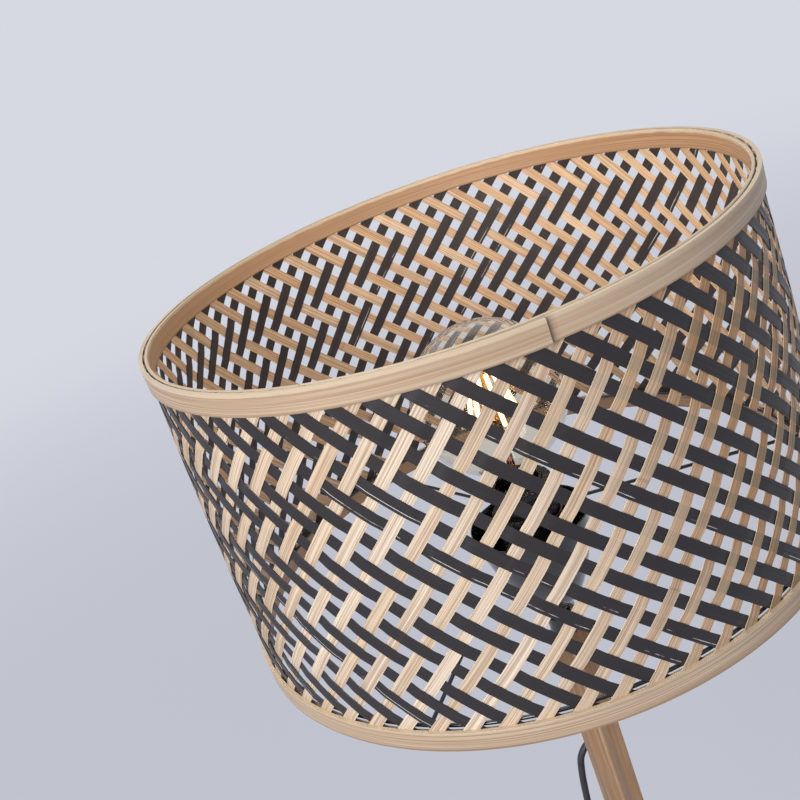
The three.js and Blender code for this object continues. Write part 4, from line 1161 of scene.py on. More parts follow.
@dataclass
class Studio:
    """The camera at the photo's place, the floor and the lights."""

    azimuth: float = -41.0
    elevation: float = 21.4
    roll: float = -20.23
    place: Point = (-0.5945, -0.5833, 1.7172)
    lens: float = 51.68
    floor_radius: float = 40.0
    floor_colour: tuple[int, int, int] = (222, 225, 234)
    haze: Tint = (0.67, 0.69, 0.76, 1.0)
    haze_near: Tint = (0.585, 0.6, 0.68, 1.0)
    haze_reach: tuple[float, float] = (1.2, 7.0)
    fade_reach: tuple[float, float] = (1.0, 6.0)
    near_share: float = 0.55
    sky: float = 0.36
    sky_colour: Tint = (0.86, 0.90, 0.97, 1.0)
    aim: Point = (0.0, 0.0, 1.3)
    bulb_light: Point = (0.0, 0.0, 1.462)
    bulb_power: float = 0.7
    bulb_colour: tuple[float, float, float] = (1.0, 0.93, 0.82)
    bulb_size: float = 0.03

    def build(self) -> None:
        """Builds the camera, then the floor and the lights."""
        self._camera()
        self._floor()
        self._world()
        self._lamps()

    def _camera(self) -> None:
        """Sets the camera's place, turn, tilt and roll."""
        a, e, roll = (math.radians(x) for x in (self.azimuth, self.elevation, self.roll))
        back = Vector((math.sin(a) * math.cos(e), -math.cos(a) * math.cos(e), math.sin(e)))
        level = Vector((math.cos(a), math.sin(a), 0.0))
        down = level.cross(-back) * -1
        right = level * math.cos(roll) - down * math.sin(roll)
        lower = level * math.sin(roll) + down * math.cos(roll)
        turn = Matrix((right, -lower, back)).transposed().to_4x4()
        data = bpy.data.cameras.new("camera")
        data.lens = self.lens
        data.sensor_width = 36.0
        data.clip_start = 0.01
        data.clip_end = 100.0
        camera = bpy.data.objects.new("camera", data)
        camera.matrix_world = Matrix.Translation(self.place) @ turn
        bpy.context.scene.collection.objects.link(camera)
        bpy.context.scene.camera = camera

    def _floor(self) -> None:
        """Lays a wide plain floor that keeps the lamp's shadow and runs out into the colour of the sky."""
        mesh = bmesh.new()
        bmesh.ops.create_circle(mesh, cap_ends=True, segments=96, radius=self.floor_radius)
        data = bpy.data.meshes.new("floor")
        mesh.to_mesh(data)
        mesh.free()
        material, g, shader = new_material("plain_floor")
        g.feed(shader.inputs["Base Color"], rgb(self.floor_colour))
        settle(shader, {"Roughness": 0.95, "Specular IOR Level": 0.1})
        distance = g.wired("ShaderNodeVectorMath", {0: g.spot()}, operation="LENGTH").outputs["Value"]
        # Camera rays and reflections see an emitted backdrop colour, with painted shade that makes it darker
        # near the lamp and paler far off.
        haze = g.mix(g.clamp_range(distance, *self.haze_reach), self.haze_near, self.haze)
        glow = g.wired("ShaderNodeEmission", {"Color": haze}).outputs[0]
        fade = g.clamp_range(distance, *self.fade_reach, self.near_share, 1.0)
        share = g.times(self._seen(g), fade)
        join = g.wired("ShaderNodeMixShader", {0: share, 1: shader.outputs[0], 2: glow})
        output = next(n for n in g.tree.nodes if n.type == "OUTPUT_MATERIAL")
        g.feed(output.inputs["Surface"], join.outputs[0])
        data.materials.append(material)
        floor = bpy.data.objects.new("floor", data)
        bpy.context.scene.collection.objects.link(floor)
        floor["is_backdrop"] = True

    def _seen(self, g: Graph) -> Socket:
        """Tells rays from the camera, and what shows in gloss and glass, from the rest.

        Args:
            g: The graph that asks.

        Returns:
            1 for those rays, and 0 for the rest.
        """
        path = g.node("ShaderNodeLightPath").outputs
        gloss = g.math("MAXIMUM", path["Is Glossy Ray"], path["Is Transmission Ray"])
        return g.math("MAXIMUM", path["Is Camera Ray"], gloss)

    def _world(self) -> None:
        """Sets an even pale sky, seen as the haze that the floor runs out into."""
        world = bpy.data.worlds.new("studio")
        world.use_nodes = True
        tree = world.node_tree
        tree.nodes.clear()
        g = Graph(tree)
        lit = g.wired("ShaderNodeBackground", {"Color": self.sky_colour, "Strength": self.sky})
        shown = g.wired("ShaderNodeBackground", {"Color": self.haze})
        given = {0: self._seen(g), 1: lit.outputs[0], 2: shown.outputs[0]}
        join = g.wired("ShaderNodeMixShader", given)
        g.wired("ShaderNodeOutputWorld", {"Surface": join.outputs[0]})
        bpy.context.scene.world = world

    def _lamps(self) -> None:
        """Hangs a wide soft light at the left, weak ones at the right and above, and one for the lit bulb."""
        target = Vector(self.aim)
        for name, spot, size, power, tint in (
            ("key", (-2.4, -0.65, 2.4), 1.5, 60.0, (1.0, 0.99, 0.98)),
            ("fill", (0.2, -2.6, 2.2), 2.0, 1.5, (0.96, 0.98, 1.0)),
            ("top", (-0.3, 0.5, 3.6), 1.6, 22.0, (1.0, 1.0, 1.0)),
        ):
            data = bpy.data.lights.new(name, "AREA")
            data.shape = "DISK"
            data.size = size
            data.energy = power
            data.color = tint
            lamp = bpy.data.objects.new(name, data)
            place = Vector(spot)
            turn = (place - target).to_track_quat("Z", "Y").to_matrix().to_4x4()
            lamp.matrix_world = Matrix.Translation(place) @ turn
            bpy.context.scene.collection.objects.link(lamp)
        glow = bpy.data.lights.new("bulb_light", "POINT")
        glow.energy = self.bulb_power
        glow.color = self.bulb_colour
        glow.shadow_soft_size = self.bulb_size
        lit = bpy.data.objects.new("bulb_light", glow)
        lit.location = self.bulb_light
        lit.visible_camera = lit.visible_glossy = lit.visible_transmission = False
        bpy.context.scene.collection.objects.link(lit)


# ---------------------------------------------------------------- cord


@dataclass
class Cord:
    """The flex from the collar to the foot switch, and on through its coil to the plug."""

    radius: float = 3.25 * MM
    switch_pieces: Sequence[str] = (
        "cord_relief_ribs",
        "switch_relief_in_ribs",
        "switch_floor",
        "switch_dome",
        "round_button",
        "switch_spring_smooth",
        "switch_screw_1",
        "switch_screw_2",
    )
    exit: Point = (0.0195, 0.009, 1.1211)
    run: Sequence[Point] = (
        (0.0195, 0.009, 1.1211),
        (0.0195, 0.009, 1.117),
        (0.0196, 0.0075, 1.104),
        (0.0186, 0.002, 1.086),
        (0.0178, -0.0026, 1.064),
        (0.0182, -0.003, 1.044),
        (0.0198, 0.0015, 1.028),
        (0.0202, 0.0095, 1.016),
        (0.0168, 0.0174, 1.009),
        (0.0095, 0.0224, 1.0045),
        (0.002, 0.027, 0.9995),
        (-0.004, 0.0306, 0.991),
        (-0.007, 0.0325, 0.977),
        (-0.0094, 0.0342, 0.955),
        (-0.011, 0.0356, 0.93),
        (-0.0126, 0.0372, 0.89),
        (-0.016, 0.041, 0.72),
        (-0.021, 0.0455, 0.52),
        (-0.028, 0.0505, 0.32),
        (-0.035, 0.0555, 0.18),
        (-0.042, 0.061, 0.1),
        (-0.048, 0.068, 0.056),
        (-0.056, 0.079, 0.026),
        (-0.066, 0.093, 0.01),
        (-0.0745, 0.104, 0.0062),
        (-0.0788, 0.1115, 0.0068),
        (-0.08, 0.118, 0.007),
        (-0.08, 0.1227, 0.007),
    )
    link: Sequence[Point] = (
        (-0.08, 0.2073, 0.007),
        (-0.08, 0.212, 0.0068),
        (-0.085, 0.2225, 0.005),
        (-0.097, 0.2305, 0.0037),
        (-0.114, 0.2335, 0.0035),
        (-0.138, 0.2325, 0.0035),
        (-0.163, 0.226, 0.0035),
        (-0.19, 0.21, 0.0035),
        (-0.212, 0.183, 0.0037),
        (-0.225, 0.148, 0.004),
        (-0.2303, 0.115, 0.0044),
    )
    coil_centre: tuple[float, float] = (-0.185, 0.075)
    coil_radius: float = 36.4 * MM
    coil_pitch: float = 7.0 * MM
    coil_turns: float = 5.5
    coil_height: float = 4.65 * MM
    plug: Point = (-0.139, 0.1117, 0.00685)

    def build(self, finishes: Finishes) -> None:
        """Args:
            finishes: The lamp's materials.
        """
        hanging = flex("flex_to_switch", smooth_route(self.run, 0.004), self.radius, finishes.sheath)
        self._declare(hanging, ["cord_run"], self.exit, self.switch_pieces)
        coil = self.coil_points()
        turn_in = Vector((0.0, 2 * self.radius, 0.0))
        route = smooth_route([*self.link, tuple(coil[0] + turn_in)], 0.004)
        drop = [coil[-1] + turn_in, coil[-1] + turn_in * 2, Vector(self.plug) - turn_in, Vector(self.plug)]
        route += coil + smooth_route([tuple(p) for p in drop], 0.003)
        lying = flex("flex_to_plug", route, self.radius, finishes.sheath)
        pieces = ["switch_relief_out_ribs", "coil_tie_smooth", "plug_relief_ribs", "plug_shell"]
        pieces += ["round_pin_1", "round_pin_2"]
        self._declare(lying, ["cord_link", "cord_coil", "cord_tail"], route[0], pieces)

    def _declare(
        self,
        made: bpy.types.Object,
        nodes: Sequence[str],
        start: Sequence[float],
        pieces: Sequence[str],
    ) -> None:
        """Attaches a stretch of flex to the lamp, hides the frame's nodes that it stands for and logs its
        length.

        Args:
            made: The curve.
            nodes: The frame's nodes that it stands for.
            start: Where it leaves the lamp or the switch; not used.
            pieces: The pieces on it; not used.
        """
        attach(made, Body.LAMP.value)
        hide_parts(*nodes)
        points = [Vector(p.co[:3]) for p in made.data.splines[0].points]
        length = sum((b - a).length for a, b in zip(points, points[1:]))
        tuple(start)
        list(pieces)
        LOG.info("made %s, %.2f m long", made.name, length)

    def coil_points(self) -> list[Vector]:
        """Winds the coil's centre line: inwards, a layer up, and outwards again.

        Returns:
            Points along it.
        """
        steps = round(self.coil_turns * 36)
        half = self.coil_turns / 2
        made = []
        for i in range(steps + 1):
            turns = self.coil_turns * i / steps
            inward = half - abs(turns - half)
            radius = self.coil_radius + half * self.coil_pitch / 2 - inward * self.coil_pitch
            climb = min(max((turns - half) * 2 + 0.5, 0.0), 1.0)
            height = self.coil_height + self.coil_pitch * climb * climb * (3 - 2 * climb)
            bearing = math.pi + turns * math.tau
            x, y = self.coil_centre
            made.append(Vector((x + radius * math.cos(bearing), y + radius * math.sin(bearing), height)))
        return made


# ---------------------------------------------------------------- shade


@dataclass(frozen=True)
class StripWay:
    """The strips that lean one way: bearing at the mark height, lean in degrees a metre, width and side."""

    bearing: float
    lean: float
    width: float
    side: int


@dataclass
class Shade:
    """The drum: two families of strips, woven two over and two under, held between lapped hoops."""

    strands: int = 60
    wander: float = math.radians(0.12)
    natural: StripWay = StripWay(1.05, 229.0, 8.7 * MM, 1)
    black: StripWay = StripWay(1.7, -242.0, 9.2 * MM, -1)
    thickness: float = 0.62 * MM
    ease: float = 0.1 * MM
    lift: float = 0.42 * MM
    pressed_lift: float = 0.32 * MM
    freeing: float = 6 * MM
    flat: float = 0.27
    mark_height: float = 1244.5 * MM
    knots: Sequence[float] = (0.0, 0.14, 0.27, 0.39, 0.5, 0.61, 0.73, 0.86)
    bulge: float = 2 * MM
    tuck: float = 0.5 * MM
    top_radius: float = 235.0 * MM
    bottom_radius: float = 240.0 * MM
    top_hoop: float = 16.2 * MM
    bottom_hoop: float = 15.3 * MM
    bottom_inner_hoop: float = 13.4 * MM
    outer_hoop: float = 3.0 * MM
    inner_hoop: float = 2.4 * MM
    pocket: float = 1.5 * MM
    lap_length: float = 95 * MM
    lap_rise: float = 2.7 * MM
    top_lap: float = -125.0
    bottom_lap: float = 48.0
    butt: float = 198.0
    butt_gap: float = 0.4 * MM
    sway: float = 0.15 * MM
    ripple: float = 0.1 * MM
    play: float = 0.15 * MM
    hoop_cuts: int = 300

    def build(self, finishes: Finishes) -> None:
        """Weaves the wall and bends the hoops.

        Args:
            finishes: The lamp's materials.
        """
        for name, way, finish, slot, node in (
            ("natural_strips", self.natural, finishes.natural_strip, Slot.NATURAL, "weave_natural"),
            ("black_strips", self.black, finishes.black_strip, Slot.BLACK, "weave_black"),
        ):
            publish(name, self._family(way), finish, slot, [node], sharp=25)
        for node, inner, thick, low, tall, lap in self._hoop_list():
            mesh = self._hoop(inner, thick, low, tall, lap)
            finish = finishes.inner_hoop if lap is None else finishes.hoop
            publish(f"{node}_strip", mesh, finish, Slot.NATURAL, [node], sharp=40, bevel=0.4 * MM)

    def wall(self, height: float) -> float:
        """Gives the radius of the middle of the weave.

        Args:
            height: Where it is asked for.

        Returns:
            The radius there.
        """
        low = LEVELS.shade_bottom + self.bottom_hoop
        high = LEVELS.shade_top - self.top_hoop
        share = min(max((height - low) / (high - low), 0.0), 1.0)
        slope = self.bottom_radius + (self.top_radius - self.bottom_radius) * share
        middle = slope - self.outer_hoop - self.pocket / 2
        return middle + self.bulge * 4 * share * (1 - share)

    def crossing_phase(self, height: float) -> float:
        """Counts crossings up the wall: whole numbers are the heights at which strips cross."""
        gain = (self.natural.lean - self.black.lean) * (height - self.mark_height)
        return (self.natural.bearing - self.black.bearing + gain) / (360 / self.strands)

    def over(self, height: float) -> float:
        """Says how far the natural strips stand out.

        Args:
            height: Where it is asked for.

        Returns:
            1 over the black strips, -1 under them, and between the two where they change.
        """
        phase = self.crossing_phase(height)
        level = math.floor(phase + 0.5)
        place = phase - level
        here = 1.0 if level % 4 in (0, 3) else -1.0
        if abs(place) <= self.flat:
            return here
        other = 1.0 if (level + (1 if place > 0 else -1)) % 4 in (0, 3) else -1.0
        t = (abs(place) - self.flat) / (1 - 2 * self.flat)
        t = t * t * (3 - 2 * t)
        return here * (1 - t) + other * t

    def _lift_at(self, height: float) -> float:
        """Gives how far strips stand off the middle: less between the hoops, which press them flat.

        Args:
            height: Where it is asked for.

        Returns:
            The distance there.
        """
        above = height - LEVELS.shade_bottom - self.bottom_hoop
        below = LEVELS.shade_top - self.top_hoop - height
        share = min(max(min(above, below) / self.freeing, 0.0), 1.0)
        return self.pressed_lift + (self.lift - self.pressed_lift) * share

    def _heights(self) -> list[float]:
        """Finds where every strip is cut, close enough to bend over and under.

        Returns:
            The heights, from the lowest to the highest.
        """
        low, high = LEVELS.shade_bottom + self.tuck, LEVELS.shade_top - self.tuck
        first, last = self.crossing_phase(low), self.crossing_phase(high)
        rise = (high - low) / (last - first)
        counts = range(math.floor(first) - 1, math.ceil(last) + 1)
        levels = (low + (n + k - first) * rise for n in counts for k in self.knots)
        return [low, *sorted(z for z in levels if low + self.tuck < z < high - self.tuck), high]

    def _family(self, way: StripWay) -> Mesh:
        """Makes every strip that leans one way.

        Args:
            way: The family.

        Returns:
            The strips.
        """
        heights = self._heights()
        low, high = heights[0], heights[-1]
        last = len(heights) - 1
        run = math.radians(way.lean)

        def place(along: float, across: float, through: float) -> Vector:
            """Bends one point of the bar onto its strip.

            Args:
                along: Its share along the bar.
                across: Its share across.
                through: Its share through, from the inner side.

            Returns:
                Its place.
            """
            height = heights[round(along * last)]
            slant = math.hypot(1.0, run * self.wall(height))
            side = (across - 0.5) * way.width
            up = min(max(height - side * run * self.wall(height) / slant, low), high)
            bearing = math.radians(way.bearing) + run * (height - self.mark_height)
            bearing += side / slant / self.wall(height)
            stand = way.side * self.over(height) * self._lift_at(height) + (through - 0.5) * self.thickness
            out = self.wall(up) + stand
            return Vector((out * math.cos(bearing), out * math.sin(bearing), up))

        def uv(along: float, across: float, inward: bool) -> tuple[float, float]:
            """Maps one point of the bar."""
            height = heights[round(along * last)]
            return height * STRIP_RUN, 0.05 + across * 0.9 + (STRIP_INNER_MAP if inward else 0.0)

        strips = Bar(way.width, self.thickness, self.ease, last).bend(place, uv)
        layer = strips.loops.layers.uv.active
        first = [*strips.verts, *strips.edges, *strips.faces]
        for k in range(1, self.strands):
            copy = bmesh.ops.duplicate(strips, geom=first)["geom"]
            wander = self.wander * math.sin(k * 12.9898 + way.side)
            turn = Matrix.Rotation(k * math.tau / self.strands + wander, 3, "Z")
            verts = [e for e in copy if isinstance(e, bmesh.types.BMVert)]
            bmesh.ops.rotate(strips, verts=verts, cent=(0, 0, 0), matrix=turn)
            for face in (e for e in copy if isinstance(e, bmesh.types.BMFace)):
                for loop in face.loops:
                    loop[layer].uv.y += k
        return strips

    def _hoop_list(self) -> list[tuple[str, float, float, float, float, float | None]]:
        """Lists the four hoops.

        Returns:
            Node, inside radius, thickness, lower edge, height and bearing of the lap of each.
        """
        top, bottom = LEVELS.shade_top - self.top_hoop, LEVELS.shade_bottom
        upper, lower = self.top_radius - self.outer_hoop, self.bottom_radius - self.outer_hoop
        step = self.pocket + self.inner_hoop
        thin = self.inner_hoop
        return [
            ("top_hoop_outer", upper, self.outer_hoop, top, self.top_hoop, self.top_lap),
            ("bottom_hoop_outer", lower, self.outer_hoop, bottom, self.bottom_hoop, self.bottom_lap),
            ("top_hoop_inner", upper - step, thin, top, self.top_hoop, None),
            ("bottom_hoop_inner", lower - step, thin, bottom, self.bottom_inner_hoop, None),
        ]

    def _hoop(self, inner: float, thick: float, low: float, tall: float, lap: float | None) -> Mesh:
        """Bends one hoop strip, from the square end on top of its lap backward to the thinned end below.

        Args:
            inner: Inside radius.
            thick: Thickness of the strip.
            low: Height of its lower edge.
            tall: Height of the strip.
            lap: Bearing in degrees of the square end, or None for a butted hoop.

        Returns:
            The bent strip.
        """
        reach = self.lap_length / inner
        whole = math.tau + (reach if lap is not None else -self.butt_gap / inner)
        start = math.radians(lap if lap is not None else self.butt)

        def place(along: float, across: float, through: float) -> Vector:
            """Bends one point of the bar onto the hoop.

            Args:
                along: Its share along the bar.
                across: Its share across.
                through: Its share through, from the inner side.

            Returns:
                Its place.
            """
            turn = along * whole
            top = max(0.0, 1 - turn / reach) if lap is not None else 0.0
            under = max(0.0, (turn - math.tau) / reach)
            out = inner + self.lap_rise * top * top * (3 - 2 * top) + through * thick * (1 - under) ** 2
            sway = self.sway * math.sin(3 * turn + low * 100) + self.ripple * math.sin(7 * turn)
            bearing = start - turn
            height = low + self.play + across * (tall - 2 * self.play) + sway / 2
            return Vector((out * math.cos(bearing), out * math.sin(bearing), height))

        def uv(along: float, across: float, inward: bool) -> tuple[float, float]:
            """Maps one point of the bar."""
            shift = 0.0 if lap is None else LAP_RUN - math.tau * inner
            return along * whole * inner + shift, across * tall + (HOOP_INNER_MAP if inward else 0.0)

        return Bar(tall, thick, 0.0, self.hoop_cuts).bend(place, uv)


# ---------------------------------------------------------------- shade frame


@dataclass
class ShadeFrame:
    """The bent wire that carries the shade: a ring, three arms and a hub plate."""

    wire: float = 1.5 * MM
    ring_radius: float = 231.8 * MM
    hub_inner: float = 21.0 * MM
    hub_outer: float = 30.0 * MM
    plate: float = 1.6 * MM
    first_arm: float = -162.6
    arms: int = 3
    arm_start: float = 28.6 * MM
    weld: float = 1.35

    def build(self, finishes: Finishes) -> None:
        """Makes the frame as one welded piece.

        Args:
            finishes: The lamp's materials.
        """
        turns = [k * math.tau / 12 for k in range(12)]
        section = [
            (self.ring_radius + self.wire * math.cos(t), LEVELS.ring + self.wire * math.sin(t)) for t in turns
        ]
        mesh = turned([*section, section[0]], 180)
        low, high = LEVELS.hub - self.plate / 2, LEVELS.hub + self.plate / 2
        plate = tube_profile(self.hub_inner, self.hub_outer, low, high)
        merge_into(mesh, turned(rounded(plate, 0.4 * MM, 2), 96))
        for k in range(self.arms):
            bearing = math.radians(self.first_arm) + k * math.tau / self.arms
            out = Vector((math.cos(bearing), math.sin(bearing), 0))
            start = out * self.arm_start + Vector((0, 0, LEVELS.hub))
            end = out * self.ring_radius + Vector((0, 0, LEVELS.ring))
            merge_into(mesh, wire_between(start, end, self.wire))
            merge_into(mesh, ball(self.wire * self.weld, end, 12))
        publish("shade_wire_frame", mesh, finishes.wire, Slot.WIRE, ["shade_frame"])


# ---------------------------------------------------------------- lampholder and bowl


@dataclass
class Holder:
    """The black neck, the bowl under the lampholder, the lampholder and its two threaded rings."""

    collar_radius: float = 13 * MM
    spigot_radius: float = 6 * MM
    spigot_length: float = 21 * MM
    lug_radius: float = 6.6 * MM
    lug_reach: tuple[float, float] = (19.5 * MM, 9 * MM)
    lug_height: float = 12 * MM
    lug_lift: float = 2.5 * MM
    grub_radius: float = 1.8 * MM
    grub_length: float = 5.4 * MM
    grub_wall: float = 0.8 * MM
    grub_socket: float = 1.6 * MM
    grub_out: float = 10.5 * MM
    grub_up: float = 14 * MM
    neck_radius: float = 7.5 * MM
    neck_depth: float = 15 * MM
    neck_top: float = 1223.6 * MM
    bore: float = 5.8 * MM
    flange_radius: float = 9.6 * MM
    flange_height: float = 4 * MM
    bowl_floor: float = 12 * MM
    bowl_radius: float = 50 * MM
    bowl_wall: float = 1.2 * MM
    rim_roll: float = 0.5 * MM
    fullness: float = 0.62
    body_radius: float = 20 * MM
    body_wall: float = 1.6 * MM
    wire_hole: float = 3.9 * MM
    seat_radius: float = 24 * MM
    seat_height: float = 2.4 * MM
    seat_lip: float = 2.2 * MM
    hub_gap: float = 1.1 * MM
    threads: int = 9
    thread_rise: float = 0.65 * MM
    cap_height: float = 21 * MM
    cap_bore: float = 7.8 * MM
    cap_throat: float = 10 * MM
    cap_step: float = 7 * MM
    ring_outer: float = 28 * MM
    ring_inner: float = 21 * MM
    ring_height: float = 7 * MM
    ring_edge: float = 1.4 * MM
    ring_top_drop: float = 8.5 * MM
    grips: int = 24
    grip_depth: float = 0.9 * MM
    grip_ease: float = 0.8 * MM

    def build(self, finishes: Finishes) -> None:
        """Turns every piece of the holder.

        Args:
            finishes: The lamp's materials.
        """
        self._collar(finishes)
        self._bowl(finishes)
        self._lampholder(finishes)

    def _collar(self, finishes: Finishes) -> None:
        """Turns the collar, the neck tube and the flange under the bowl.

        Args:
            finishes: The lamp's materials.
        """
        low, high = LEVELS.collar_bottom, LEVELS.collar_top
        spigot, seat = low - self.spigot_length, high - self.neck_depth - GAP
        profile = [
            (0.0, spigot),
            (self.spigot_radius, spigot),
            (self.spigot_radius, low),
            (self.collar_radius, low),
            (self.collar_radius, high),
            (self.neck_radius + GAP, high),
            (self.neck_radius + GAP, seat),
            (0.0, seat),
        ]
        mesh = turned(profile, 96)
        merge_into(mesh, self._lug())
        publish("collar_with_lug", mesh, finishes.gloss, Slot.GLOSS, ["pole_collar"], bevel=0.9 * MM)
        self._grub(finishes)
        low, high = LEVELS.collar_top - self.neck_depth, self.neck_top
        neck = turned(tube_profile(self.bore, self.neck_radius, low, high), 64)
        publish("neck", neck, finishes.gloss, Slot.GLOSS, ["neck_tube"], bevel=0.4 * MM)
        low, hole = LEVELS.flange_bottom, self.neck_radius + GAP
        flange = tube_profile(hole, self.flange_radius, low, low + self.flange_height)
        nut = turned(rounded(flange, 1.2 * MM), 64)
        publish("neck_nut", nut, finishes.gloss, Slot.GLOSS, ["neck_flange"])

    def _lug(self) -> Mesh:
        """Draws a short cylinder out to one side, as the arm that the cord leaves by.

        Returns:
            The closed arm.
        """
        middle = LEVELS.collar_bottom + self.lug_lift + self.lug_height / 2
        lug = cylinder(self.lug_radius, self.lug_height, 48)
        moved(lug, (0, 0, 0), math.pi / 48, "Z")
        out = Vector(self.lug_reach)
        far = [v for v in lug.verts if v.co.x > 0]
        bmesh.ops.translate(lug, verts=far, vec=(out.length, 0, 0))
        return moved(lug, (0, 0, middle), math.atan2(out.y, out.x), "Z")

    def _grub(self, finishes: Finishes) -> None:
        """Makes the grub screw at the back of the collar, with its socket.

        Args:
            finishes: The lamp's materials.
        """
        mesh = cylinder(self.grub_radius, self.grub_length, 24)
        top = max(mesh.faces, key=lambda f: f.calc_center_median().z)
        bmesh.ops.inset_individual(mesh, faces=[top], thickness=self.grub_wall)
        deep = bmesh.ops.extrude_discrete_faces(mesh, faces=[top])["faces"]
        bmesh.ops.translate(mesh, verts=deep[0].verts, vec=(0, 0, -self.grub_socket))
        moved(mesh, (0, self.grub_out, LEVELS.collar_bottom + self.grub_up), -math.pi / 2)
        publish("grub_screw", mesh, finishes.steel, Slot.STEEL, ["collar_grub_screw"])

    def bowl_at(self, share: float) -> float:
        """Gives the bowl's outer radius.

        Args:
            share: The share of the bowl's height, from its floor.

        Returns:
            The radius there.
        """
        belly = math.sqrt(max(0.0, 1 - (1 - share) ** 2))
        mixed = self.fullness * belly + (1 - self.fullness) * share
        return self.bowl_floor + (self.bowl_radius - self.bowl_floor) * mixed

    def _bowl(self, finishes: Finishes) -> None:
        """Turns the thin bowl, its rim rolled.

        Args:
            finishes: The lamp's materials.
        """
        low, high = LEVELS.bowl_bottom, LEVELS.bowl_rim
        wall = self.bowl_wall
        hole = self.neck_radius + GAP
        outside = [(hole, low), (self.bowl_floor - 1 * MM, low)]
        inside = [(hole, low + wall), (self.bowl_floor - wall - 1 * MM, low + wall)]
        rows = 40
        for i in range(1, rows + 1):
            share = (i / rows) ** 1.6
            radius = self.bowl_at(share)
            roll = self.rim_roll if i == rows else 0.0
            outside.append((radius, low + share * (high - low) - roll))
            inside.append((radius - wall, low + wall + share * (high - low - wall) - roll))
        ease = self.rim_roll / 2
        rim = [(self.bowl_radius - ease, high), (self.bowl_radius - wall + ease, high)]
        profile = [*outside, *rim, *reversed(inside)]
        shell = turned([*profile, profile[0]], 128)
        publish("holder_bowl_shell", shell, finishes.gloss, Slot.GLOSS, ["holder_bowl"])

    def _lampholder(self, finishes: Finishes) -> None:
        """Turns the lampholder's shell and cap and both rings.

        Args:
            finishes: The lamp's materials.
        """
        low, high = LEVELS.holder_bottom, LEVELS.holder_top
        radius, wall, hole = self.body_radius, self.body_wall, self.wire_hole
        flange_top = LEVELS.hub - self.hub_gap
        start = flange_top + self.seat_lip
        profile = [
            (hole, low),
            (radius, low),
            (radius, flange_top - self.seat_height),
            (self.seat_radius, flange_top - self.seat_height),
            (self.seat_radius, flange_top),
            (radius, flange_top),
            (radius, start),
        ]
        pitch = (high - 1 * MM - start) / self.threads
        rise = self.thread_rise
        for k in range(self.threads):
            for share, out in ((0.3, 0.0), (0.5, rise), (0.75, rise), (0.95, 0.0)):
                profile.append((radius + out, start + (k + share) * pitch))
        inside = radius - wall
        profile += [(radius, high), (inside, high), (inside, low + wall), (hole, low + wall), (hole, low)]
        thread = turned(profile, 96)
        publish("lampholder_thread", thread, finishes.satin, Slot.GLOSS, ["lampholder_shell"], sharp=30)
        cap_top = low - GAP
        cap_low = cap_top - self.cap_height
        step = cap_low + self.cap_step
        cap = [
            (self.cap_bore, cap_low),
            (self.cap_throat, cap_low),
            (self.cap_throat, step),
            (self.cap_throat + 3 * MM, step + 2 * MM),
            (radius, cap_top - self.cap_step),
            (radius, cap_top),
            (hole, cap_top),
            (hole, step),
            (self.cap_bore, step),
            (self.cap_bore, cap_low),
        ]
        dome = turned(rounded(cap, 2 * MM), 96)
        publish("lampholder_dome", dome, finishes.satin, Slot.GLOSS, ["lampholder_cap"])
        self._ring("shade_ring_lower", LEVELS.hub + self.hub_gap, finishes)
        self._ring("shade_ring_upper", LEVELS.holder_top - self.ring_top_drop, finishes)

    def _ring(self, name: str, bottom: float, finishes: Finishes) -> None:
        """Turns one clamp ring and cuts its grip notches.

        Args:
            name: The frame's node that it stands for.
            bottom: Height of its lower face.
            finishes: The lamp's materials.
        """
        top, edge = bottom + self.ring_height, self.ring_edge
        inner, outer = self.ring_inner, self.ring_outer
        profile = [(inner, bottom), (outer, bottom), (outer, bottom + edge), (outer, top - edge)]
        profile += [(outer, top), (inner, top), (inner, bottom)]
        mesh = turned(profile, 96)
        for vert in mesh.verts:
            radius = math.hypot(vert.co.x, vert.co.y)
            if radius > self.ring_outer - 0.1 * MM:
                bearing = math.atan2(vert.co.y, vert.co.x)
                grip = max(0.0, math.cos(bearing * self.grips)) ** 4
                at_end = not bottom + 1 * MM < vert.co.z < top - 1 * MM
                sink = grip * self.grip_depth * (1.6 if at_end else 1.0) + (self.grip_ease if at_end else 0.0)
                vert.co.x *= 1 - sink / radius
                vert.co.y *= 1 - sink / radius
        publish(f"{name}_grip", mesh, finishes.satin, Slot.GLOSS, [name], sharp=30)


# ---------------------------------------------------------------- bulb


